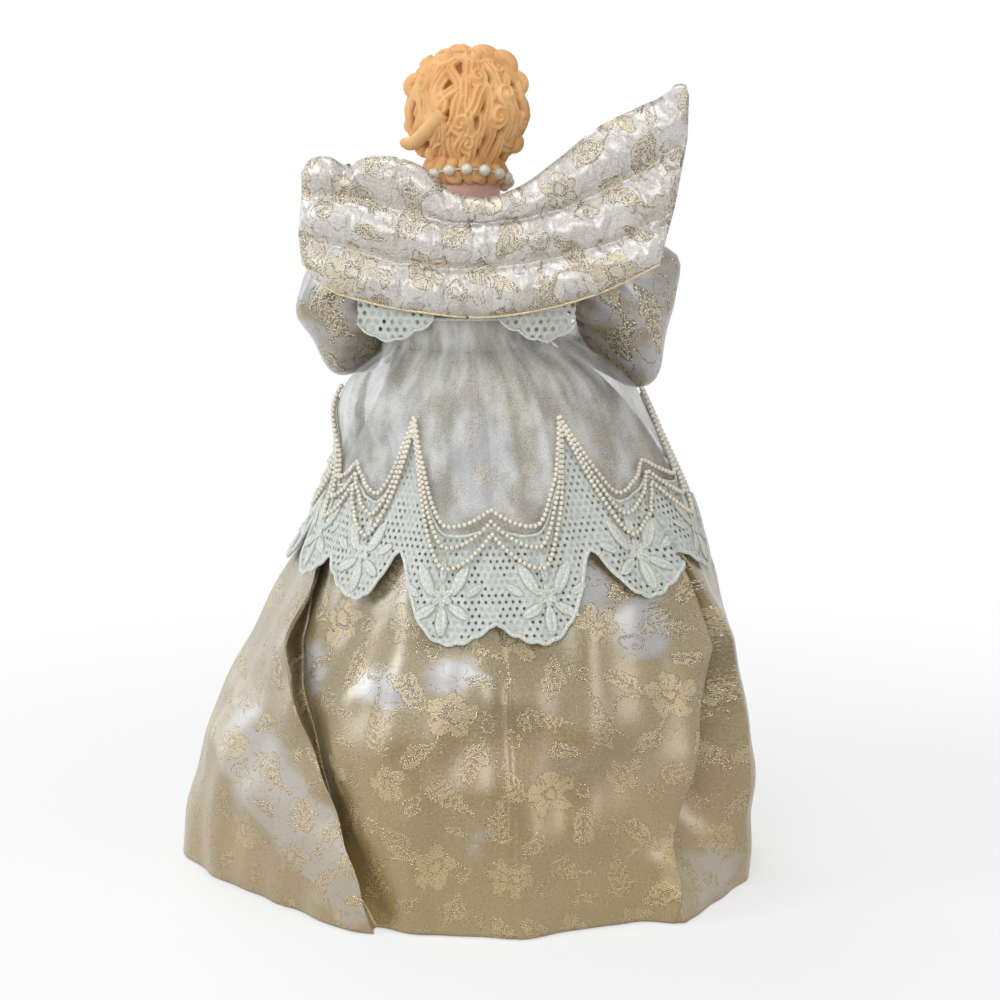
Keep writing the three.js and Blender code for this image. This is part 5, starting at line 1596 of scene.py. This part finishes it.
def face_relief(x, z):
    """How far the face stands out: the sum of hills for brows, lids, nose, lips, cheeks and chin, less
    those of the eye sockets and the line between the lips. X from the middle and Z from the eyes, in
    millimetres."""
    side = np.abs(x)
    out = 1.3 * hill(side - 6.4, 2.8) * hill(z + 0.2, 1.8) - 1.9 * hill(side - 6.4, 3.6) * hill(z, 2.8)
    out += 1.4 * hill(x, 1.6) * hill(z + 2.4, 3.8) + 2.5 * hill(x, 1.9) * hill(z + 6.6, 2.0)
    out += (0.8 * hill(side - 2.0, 1.0) * hill(z + 7.5, 1.2)
            + 0.5 * hill(side - 6.2, 4.5) * hill(z - 4.4, 1.8))
    out += 0.9 * hill(x, 3.0) * hill(z + 11.6, 0.8) + 1.0 * hill(x, 2.6) * hill(z + 13.5, 0.95)
    out -= 0.8 * hill(x, 3.6) * hill(z + 12.5, 0.4)
    return out + 0.8 * hill(side - 8.4, 4.2) * hill(z + 6.5, 4.2) + 1.1 * hill(x, 4.2) * hill(z + 18, 2.6)


def face_paint(x, z, front):
    """Colour and cover at each point: blush, then lips, brows and the closed lashes over it."""
    side = np.abs(x)
    blush = 0.55 * hill(side - 8.6, 3.6) * hill(z + 6.4, 2.8)
    lips = np.clip(hill(x, 3.1) * (hill(z + 11.7, 0.8) + hill(z + 13.3, 0.95)) * 1.5 - 0.25, 0, 0.9)
    arch = hill(z - 5.2 + 0.06 * (side - 5.6) ** 2, 0.55)
    brow = 0.6 * arch * rise(2.4, 3.6, side) * (1 - rise(8.6, 10.4, side))
    lash = 0.9 * hill(z + 1.3 - 0.07 * (side - 6.4) ** 2, 0.36) * (1 - rise(3.2, 4.0, np.abs(side - 6.4)))
    colour = np.zeros(x.shape + (4,)) + rgb(226, 150, 138)
    cover = blush
    for amount, tone in ((lips, rgb(196, 98, 92)), (brow, rgb(150, 100, 60)), (lash, rgb(84, 56, 40))):
        colour = colour + amount[..., None] * (np.array(tone) - colour)
        cover = np.maximum(cover, amount)
    colour[..., 3] = cover * front
    return colour


direction = ball(HEAD_ROWS, HEAD_COLUMNS)
head_points = skull(direction, 0.0)
front = rise(0.15, 0.5, -direction[..., 1])
from_eyes = head_points[..., 2] - SKULL_CENTRE
head_points[..., 1] -= front * face_relief(head_points[..., 0], from_eyes)
paint = face_paint(head_points[..., 0], from_eyes, front)
no_cloth = np.zeros((HEAD_ROWS, HEAD_COLUMNS + 1, 2))
head_skin = grid_piece("head_skin", head_turned(head_points), skin, no_cloth, wrap=True,
                       marks={"paint": paint})
neck_share = np.linspace(0, 1, NECK_ROWS)
neck_path = stack(0.0, 0.0, HEAD_BASE + NECK_LENGTH * neck_share)
neck_wide = NECK_RADIUS - 1.6 * hill(neck_share - 0.5, 0.3)
neck_rings = tube_grid(neck_path, neck_wide, NECK_SIDES, away=np.array((1.0, 0.0, 0.0)))
neck_skin = grid_piece("neck_skin", neck_rings, skin, np.zeros((NECK_ROWS, NECK_SIDES + 1, 2)), wrap=True)
for piece in (head_skin, neck_skin):
    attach(piece, "head")
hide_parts("head")
print("head:", len(head_skin.data.polygons), "faces")

# %% [markdown]
# ## The hair
# The hair is cast with the head and painted ginger. It is made in three ways: locks round the face, a
# relief on the rest of the head, and loose curls that stand out. A lock is a strip on the egg: its middle
# line bends more and more towards its end, it is round across with two grooves, and it sinks into the cap
# at its edges. Seeded chance turns each one.

# %% The hair
ginger, ink, shader = new_finish("ginger_hair", Specular_IOR_Level=0.35)
place = object_place(ink)
painted_shade = point_mark(ink, "painted_shade")
tone = noise(ink, place, 90, 3.0)
grain = noise(ink, place, 1800, 2.0)
lit = tone.step(0.3, 0.7).between(rgb(226, 172, 112), rgb(238, 190, 132))
# Painted shade: the hair's colour is painted darker where the points' value says it lies deep between locks
# and waves
feed(shader, Base_Color=painted_shade.step(0.25, 1.0).between(lit, rgb(158, 100, 52)), Roughness=0.52 + grain * 0.2,
     Normal=raised(ink, grain, 0.25, 0.0003))
LOCK_SEEDS = 210
HEAD_RADIUS = 20.0
LOCK_ROWS = 22
LOCK_COLUMNS = 11
CROWN = np.array((0.1, 0.42, 0.90))
luck = np.random.default_rng(5)


def on_scalp(direction):
    """Whether a direction points at hair: not the face, and not under the jaw."""
    x, y, z = np.moveaxis(direction, -1, 0)
    face = ((x / 0.74) ** 2 + ((z + 0.22) / 0.70) ** 2 < 1) & (y < 0)
    return ~face & ~((z < -0.35) & (y < 0.15)) & (z > -0.86)


def over_face(direction):
    """Whether a direction points at the open part of the face."""
    x, y, z = np.moveaxis(direction, -1, 0)
    return ((x / 0.66) ** 2 + ((z + 0.28) / 0.68) ** 2 < 1) & (y < 0)


def locks(starts, headings, bends, curls, lengths, halves, tall):
    """Grids of locks on the egg. The heading along a lock is its first one plus the bend times the share
    along plus the curl times that share cubed; its width and height are full in the middle and close at
    both ends."""
    share = np.linspace(0, 1, LOCK_ROWS)
    across = np.linspace(-1, 1, LOCK_COLUMNS)
    full = np.clip(4 * share * (1 - share), 0, 1)
    heading = headings[:, None] + bends[:, None] * share + curls[:, None] * share ** 3
    steps = stack(np.cos(heading), np.sin(heading)) * (lengths[:, None, None] / (LOCK_ROWS - 1))
    middle = np.cumsum(steps, axis=1) - steps
    wide = halves[:, None] * full ** 0.45
    x = middle[..., 0, None] - np.sin(heading)[..., None] * wide[..., None] * across
    y = middle[..., 1, None] + np.cos(heading)[..., None] * wide[..., None] * across
    south = unit(np.cross(np.cross(starts, CROWN), starts)) * -1
    east = np.cross(south, starts)
    sideways = x[..., None] * south[:, None, None] + y[..., None] * east[:, None, None]
    direction = unit(starts[:, None, None] + sideways / HEAD_RADIUS)
    grooves = hill(across - 0.36, 0.13) + hill(across + 0.36, 0.13)
    round_across = np.sqrt(1 - across ** 2) * (1 - 0.24 * grooves)
    lift = tall[:, None, None] * full[:, None] ** 0.4 * round_across
    # Painted shade, darker towards each lock's edges and ends
    painted_shade = 1 - lift / tall.max()
    clear = ~over_face(direction).any(axis=(1, 2))
    return skull(direction, 0.9 + lift)[clear], np.broadcast_to(painted_shade, lift.shape)[clear]


def scattered(count):
    """Unit directions spread evenly over a ball along a golden spiral, kept where there is hair."""
    index = np.arange(count) + 0.5
    polar, azimuth = np.arccos(1 - 2 * index / count), np.pi * (1 + 5 ** 0.5) * index
    spread = stack(np.sin(polar) * np.cos(azimuth), np.sin(polar) * np.sin(azimuth), np.cos(polar))
    return spread[on_scalp(spread)]


starts = scattered(LOCK_SEEDS)
starts = starts[starts[:, 1] < -0.3]
count = len(starts)
hand_of = np.where(luck.random(count) > 0.5, 1.0, -1.0)
headings = luck.uniform(-0.9, 0.9, count)
bends = -hand_of * luck.uniform(0.6, 2.4, count)
curls = hand_of * luck.uniform(1.0, 5.5, count)
lengths = luck.uniform(14, 24, count)
halves = luck.uniform(2.9, 4.4, count)
tall = luck.uniform(1.6, 3.2, count)
lock_grids, lock_painted_shade = locks(starts, headings, bends, curls, lengths, halves, tall)
hair_locks = many_grids("hair_locks", head_turned(lock_grids), ginger, lock_painted_shade)
print("hair:", len(lock_grids), "locks round the face")

# %% [markdown]
# ## The hair's relief
# Behind the face the hair is one surface: the egg, grown at each point by the tallest of many forms. Wavy
# bundles with fine grooves fill it, and round curls with a spiral groove stand out where the photograph
# shows curls.

# %% The hair's relief
CAP_ROWS = 260
CAP_COLUMNS = 340
STRAND_PITCH = 2.0
SPIRAL_PITCH = 2.4
BUNDLE_SEEDS = 150
# Each round curl's middle: bearing from the back and height above the level, in degrees
CURL_PLACES = ((-50, 44), (-45, 20), (-66, -4), (5, -4), (-2, -20), (-33, 2), (-70, 66), (-95, 52),
               (45, 60), (58, 33), (28, 13), (42, -10), (-80, 25), (-20, 62), (95, 50), (-16, 36))


def on_ball(middle, direction):
    """Distances of directions from a middle on the head, away from the crown and across, in millimetres."""
    away = unit(middle * np.dot(middle, CROWN) - CROWN)
    near = direction @ middle > 0.3
    return HEAD_RADIUS * (direction @ away), HEAD_RADIUS * (direction @ np.cross(away, middle)), near


def bundle_height(direction, middle, heading, bow, half, length, tall):
    """A wavy bundle of hair: an ellipsoid whose middle line is a sine wave, with grooves along it."""
    x, y, near = on_ball(middle, direction)
    along = x * math.cos(heading) + y * math.sin(heading)
    across = y * math.cos(heading) - x * math.sin(heading) - bow * np.sin(np.pi * along / length)
    inside = np.clip(1 - (across / half) ** 2 - (along / length) ** 2, 0, 1)
    return near * tall * np.sqrt(inside) * (1 - 0.26 * np.cos(2 * np.pi * across / STRAND_PITCH))


def curl_height(direction, middle, radius, hand, tall):
    """A round curl: a ball cap with a spiral groove that winds to one hand."""
    x, y, near = on_ball(middle, direction)
    reach = np.hypot(x, y)
    spiral = np.cos(2 * np.pi * reach / SPIRAL_PITCH - hand * np.arctan2(y, x))
    return near * tall * np.sqrt(np.clip(1 - (reach / radius) ** 2, 0, 1)) * (1 - 0.28 * spiral)


def soft_scalp(direction):
    """1 on the hair and 0 on the face and under the jaw, with a soft edge."""
    x, y, z = np.moveaxis(direction, -1, 0)
    from_face = np.maximum(rise(0.98, 1.08, np.hypot(x / 0.74, (z + 0.22) / 0.70)), y > 0)
    return from_face * np.maximum(rise(-0.42, -0.30, z), rise(0.08, 0.22, y)) * rise(-0.9, -0.82, z)


cap_direction = ball(CAP_ROWS, CAP_COLUMNS)
hair_height = np.zeros((CAP_ROWS, CAP_COLUMNS))
for middle in scattered(BUNDLE_SEEDS):
    bundle = bundle_height(cap_direction, middle, luck.uniform(-0.8, 0.8), luck.uniform(-2.4, 2.4),
                           luck.uniform(2.2, 3.2), luck.uniform(6, 10), luck.uniform(1.5, 3.2))
    hair_height = np.maximum(hair_height, bundle)
for bearing, up in np.radians(CURL_PLACES):
    bearing = bearing + HEAD_TURN
    middle = np.array((math.cos(up) * math.sin(bearing), math.cos(up) * math.cos(bearing), math.sin(up)))
    curl = curl_height(
        cap_direction, middle, luck.uniform(3.8, 5.2), luck.choice((-1, 1)), luck.uniform(2.8, 3.8))
    hair_height = np.maximum(hair_height, curl)
cap_place = head_turned(skull(cap_direction, 2.0))
fuller = 1.8 * rise(6, 17, -cap_place[..., 0]) * hill(cap_place[..., 2] - 286, 16)
flatter = rise(7, 14, cap_place[..., 0]) * hill(cap_place[..., 2] - 281, 8)
raised_hair = 1.7 + fuller - 0.5 * flatter + hair_height * (1 - 0.7 * flatter)
cap_points = skull(cap_direction, -0.8 + soft_scalp(cap_direction) * raised_hair)
no_cloth = np.zeros((CAP_ROWS, CAP_COLUMNS + 1, 2))
# Painted shade, darker where the relief is low, between bundles and curls
hair_cap = grid_piece("hair_cap", head_turned(cap_points), ginger, no_cloth, wrap=True,
                      marks={"painted_shade": 1 - np.clip(hair_height / 2.7, 0, 1)})
print("hair cap:", len(hair_cap.data.polygons), "faces")

# %% [markdown]
# ## Loose curls
# Two curls and a long lock stand out beside the face at the left, others round off the head's outline at
# the top and the right, and the nape's locks end in small curls over the neck. All are fat tubes, most
# along short spirals.

# %% Loose curls
CURL_SHARE = np.linspace(0, 1, 26)
NAPE_BEARINGS = np.linspace(-75, 75, 9)
NAPE_HEIGHTS = np.linspace(265.0, 255.2, FINGER_ROWS)


def ringlet(middle, start_turn, turns, radius, thick, out, close=0.75):
    """A tube along a spiral in an upright plane: its radius shrinks from the outside by the share close,
    and the tube thins to its tip. Out is the direction, seen from above, that the plane reaches to."""
    angle = math.radians(start_turn) + 2 * np.pi * turns * CURL_SHARE
    reach = radius * (1 - close * CURL_SHARE)
    out = np.array((*out, 0.0)) / np.hypot(*out)
    flat = np.multiply.outer(reach * np.cos(angle), out) + np.multiply.outer(reach * np.sin(angle), UP)
    aside = np.cross(out, UP)
    path = np.array(middle) + flat + np.multiply.outer(1.6 * CURL_SHARE, -aside)
    return closed_tube(path, thick * (1 - 0.35 * CURL_SHARE) * round_ends(CURL_SHARE, 8) + 0.02, 12, aside)


def loose_lock(points, thick):
    """A fat tube through a few points, rounded at both ends."""
    path = smooth_line(points, len(CURL_SHARE))
    return closed_tube(path, thick * round_ends(CURL_SHARE, 8) + 0.02, 12, np.array((0.3, 0.2, 1.0)))


def nape_lock(bearing):
    """A lock that hangs on the neck: it bulges in the middle and waves from side to side."""
    path = round_body(bearing, 12.3 + 0.9 * np.sin(np.pi * FINGER_SHARE), NAPE_HEIGHTS)
    path[:, 0] += 1.2 * np.sin(5 * FINGER_SHARE + bearing)
    return closed_tube(path, 2.3 * round_ends(FINGER_SHARE, 6) + 0.02, 10, np.array((1.0, 0.3, 0.0)))


ringlets = np.stack([
    ringlet((18.2, -3.0, 289.4), 140, -1.25, 3.7, 2.5, (1.0, 0.1), 0.75),
    ringlet((19.8, -2.0, 275.8), 90, -0.8, 1.4, 2.4, (1.0, 0.1), 0.4),
    loose_lock(((8.5, 17.5, 281.0), (14.5, 12.5, 274.6), (20.0, 6.0, 269.8), (24.0, 0.0, 270.2)), 2.6),
    ringlet((-12.6, 1.0, 296.6), 70, 1.1, 3.6, 3.3, (1.0, 0.1)),
    ringlet((-5.0, 1.0, 297.8), 150, -0.9, 4.8, 3.2, (1.0, 0.1), 0.5),
    ringlet((-9.4, 2.0, 298.2), 90, 1.0, 2.0, 3.0, (1.0, 0.1)),
    ringlet((-17.4, 1.0, 290.4), 50, 1.1, 3.0, 3.0, (1.0, 0.2)),
    ringlet((-16.8, 3.0, 269.6), 60, 1.1, 2.4, 2.5, (1.0, -0.3)),
    ringlet((-18.6, -2.0, 279.4), 60, 1.1, 2.6, 2.6, (1.0, 0.2)),
    ringlet((12.0, 6.0, 265.8), 120, -1.1, 2.6, 2.2, (0.8, 0.6)),
    ringlet((15.4, 3.0, 268.4), 120, -1.1, 2.2, 3.0, (0.8, 0.6)),
    ringlet((-6.0, -19.0, 292.0), 90, 1.1, 2.4, 2.3, (0.6, 0.8)),
    ringlet((4.0, 12.2, 258.6), 100, -1.1, 2.4, 1.9, (1.0, 0.0)),
    ringlet((-3.5, 12.6, 259.2), 80, 1.1, 2.4, 1.9, (1.0, 0.0)),
    ringlet((-9.5, 9.6, 259.4), 80, 1.1, 2.4, 1.9, (0.8, -0.6)),
    ringlet((9.6, 8.8, 259.0), 100, -1.1, 2.4, 1.9, (0.8, 0.6)),
])
# A trace of painted shade on the curls, and a little more on the nape's locks
hair_curls = many_grids("hair_curls", ringlets, ginger, np.full(ringlets.shape[:3], 0.3))
nape = np.stack([nape_lock(bearing) for bearing in NAPE_BEARINGS])
hair_nape = many_grids("hair_nape", nape, ginger, np.full(nape.shape[:3], 0.4))
for piece in (hair_locks, hair_cap, hair_curls, hair_nape):
    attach(piece, "head")
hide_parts("hair")
print("loose curls:", len(ringlets), "and", len(nape), "nape locks")

# %% [markdown]
# ## Necklace and shoulder plate
# One row of larger pearls lies round the neck and is lifted at the back, where it lies over the hair.
# Under it the skin of the shoulder plate shows as a small pink crescent at the nape; it spreads from the
# neck to the shoulders and goes under the bodice.

# %% Necklace and shoulder plate
PLATE_TOP = 252.6
NECKLACE_RADIUS = 14.1
PEARL_COUNT = 16
PEARL_RADIUS_NECK = 2.2
PLATE_ROWS = 26
PLATE_COLUMNS = 80
PLATE_FOOT = 236.6
PLATE_HEIGHT = 16.6
pearl_bearing = np.arange(PEARL_COUNT) * 360 / PEARL_COUNT


def necklace_line(bearing):
    """The necklace's thread: a ring that is lifted at the back, where it lies over the hair."""
    back = (0.5 + 0.5 * np.cos(np.radians(bearing))) ** 1.5
    return round_body(bearing, NECKLACE_RADIUS + 2.6 * back, PLATE_TOP + 8.6 * back)


necklace = beads("necklace_pearls", necklace_line(pearl_bearing), PEARL_RADIUS_NECK, pearl, 13, 17)
fine = np.linspace(0, 360, 90, endpoint=False)
thread = cord_piece("necklace_thread", necklace_line(fine), 0.3, cord_white, 6, closed=True)
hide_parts("necklace")
plate_share = np.linspace(0, 1, PLATE_ROWS)
spread = 1 - rise(0.0, 0.78, plate_share) ** 0.8
plate_bearing = np.linspace(0, 360, PLATE_COLUMNS, endpoint=False)
plate_radius = NECK_RADIUS + (ellipse((27.0, 20.0), plate_bearing) - NECK_RADIUS) * spread[:, None]
plate_heights = (PLATE_FOOT + PLATE_HEIGHT * plate_share)[:, None]
plate_rings = round_body(plate_bearing, plate_radius, plate_heights)[::-1]
no_cloth = np.zeros((PLATE_ROWS, PLATE_COLUMNS + 1, 2))
plate = grid_piece("shoulder_skin", plate_rings, skin, no_cloth, wrap=True)
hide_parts("shoulder_plate")
for piece, slot in ((necklace, "pearl"), (thread, "pearl"), (plate, "skin")):
    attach(piece, "root")
print("necklace:", PEARL_COUNT, "pearls")

# %% [markdown]
# ## Bodice, waist binding and collar lace
# The bodice is a fitted tube of brocade with shallow pleats. A white cord covers the overskirt's gathers,
# and a thicker one with a row of small pearls edges the neckline. The pointed lace that shows under the
# wings is the back of a collar: two tabs that stand off the bodice.

# %% Bodice and waist binding
BODICE_HEIGHTS = (196.6, 206.0, 216.3, 227.0, 236.0)
BODICE_WIDE = (26.7, 29.3, 30.7, 30.2, 28.7)
BODICE_DEEP = (24.7, 27.3, 28.7, 26.2, 21.8)
BODICE_COLUMNS = 240
RING_BEARINGS = np.linspace(0, 360, 180, endpoint=False)


def level_ring(halves, height):
    """Points on a level ellipse round the angel's axis."""
    return round_body(RING_BEARINGS, ellipse(halves, RING_BEARINGS), height)


bodice_line = smooth_line(np.stack([BODICE_HEIGHTS, BODICE_WIDE, BODICE_DEEP], 1), 40)[::-1]
bodice_bearing = np.linspace(0, 360, BODICE_COLUMNS, endpoint=False)
pleats = 0.30 * np.sin(np.radians(30 * bodice_bearing)) * hill(bodice_line[:, :1] - 198, 12)
bodice_radius = np.stack([ellipse((wide, deep), bodice_bearing) for _, wide, deep in bodice_line]) + pleats
bodice_cloth = stack(np.linspace(0, 180, BODICE_COLUMNS + 1), bodice_line[:, :1])
bodice_points = round_body(bodice_bearing, bodice_radius, bodice_line[:, :1])
bodice = grid_piece("bodice_cloth", bodice_points, brocade, bodice_cloth, wrap=True)
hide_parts("bodice")
binding_path = level_ring((30.6, 28.6), OVERLAY_TOP + 0.1)
binding = cord_piece("waist_binding", binding_path, 0.6, cord_white, 8, closed=True)
neckline = cord_piece("neckline_cord", level_ring((27.9, 21.0), 236.4), 1.25, cord_white, 8, closed=True)
neckline_places = evenly(level_ring((28.4, 21.5), 235.0), 2.4)
neckline_pearls = beads("neckline_pearls", neckline_places, PEARL_RADIUS, pearl)
for piece, slot in ((bodice, "brocade"), (binding, "lace"), (neckline, "lace"), (neckline_pearls, "pearl")):
    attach(piece, "root")
print("bodice:", len(bodice.data.polygons), "faces")

# %% Collar lace
TAB_PLAN = ((11.5, 30.8), (20.0, 30.2), (30.0, 28.2), (39.0, 25.2))
TAB_TOP = 215.0
TAB_ROWS = 18
TAB_COLUMNS = 90
for side, sign in (("left", 1), ("right", -1)):
    plan = smooth_line(TAB_PLAN, TAB_COLUMNS) * (sign, 1)
    share = np.linspace(0, 1, TAB_COLUMNS)
    low = np.interp(share, (0, 0.25, 0.5, 0.75, 1.0), (209.2, 205.0, 201.8, 202.6, 207.0))
    low = low - 1.3 * np.abs(np.sin(np.pi * 4 * share))
    rows = np.linspace(0, 1, TAB_ROWS)[:, None]
    height = TAB_TOP + (low - TAB_TOP) * rows
    ripple = 0.6 * np.sin(14 * share) * rows
    tab_points = stack(plan[:, 0], plan[:, 1] + ripple + 1.2 * rows, height)
    tab_cloth = stack(30 * share, height)
    if sign > 0:
        tab_points, tab_cloth = tab_points[:, ::-1], tab_cloth[:, ::-1]
    tab = grid_piece(f"{side}_collar_points", tab_points, collar_ground, tab_cloth)
    tab_cord = cord_piece(f"{side}_collar_cord", tab_points[-1], 0.5, cord_white, 6)
    for piece in (tab, tab_cord):
        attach(piece, "root")
    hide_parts(f"{side}_collar_lace")
print("two collar tabs")

# %% [markdown]
# ## What the clothes hide
# The cone, the torso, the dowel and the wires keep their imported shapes. They show only from below or not
# at all, but each gets its own finish: kraft card with its fibres, foam with its cells, wood with its
# grain, drawn steel.

# %% Finishes of the hidden frame


def grained(name, dark, light, scale, stretch, roughness, metal, relief):
    """A finish with noise drawn out along an axis between two colours, and a relief from the same noise."""
    finish, ink, shader = new_finish(name, Metallic=metal)
    place = ink.node("ShaderNodeMapping", None, {0: object_place(ink), 3: stretch})
    grain = noise(ink, place, scale, 4.0)
    feed(shader, Base_Color=grain.step(0.3, 0.7).between(dark, light), Roughness=roughness + grain * 0.2,
         Normal=raised(ink, grain, 0.4, relief))
    return finish


kraft = grained("kraft_card", rgb(150, 114, 74), rgb(186, 150, 104), 420, (1, 1, 0.25), 0.75, 0.0, 0.0003)
foam = grained("white_foam", rgb(214, 212, 206), rgb(240, 239, 235), 900, (1, 1, 1), 0.8, 0.0, 0.0006)
birch = grained("birch_dowel", rgb(186, 146, 98), rgb(222, 188, 142), 700, (1, 1, 0.06), 0.55, 0.0, 0.0002)
steel = grained("drawn_wire", rgb(120, 122, 126), rgb(170, 172, 176), 1600, (0.2, 1, 1), 0.3, 0.9, 0.0001)
for node, finish in (("tree_cone", kraft), ("torso_form", foam), ("neck_dowel", birch),
                     ("left_wing_wire", steel), ("right_wing_wire", steel),
                     ("left_arm_wire", steel), ("right_arm_wire", steel)):
    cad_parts[node].data.materials.clear()
    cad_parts[node].data.materials.append(finish)
print("frame finishes: card, foam, birch and steel")
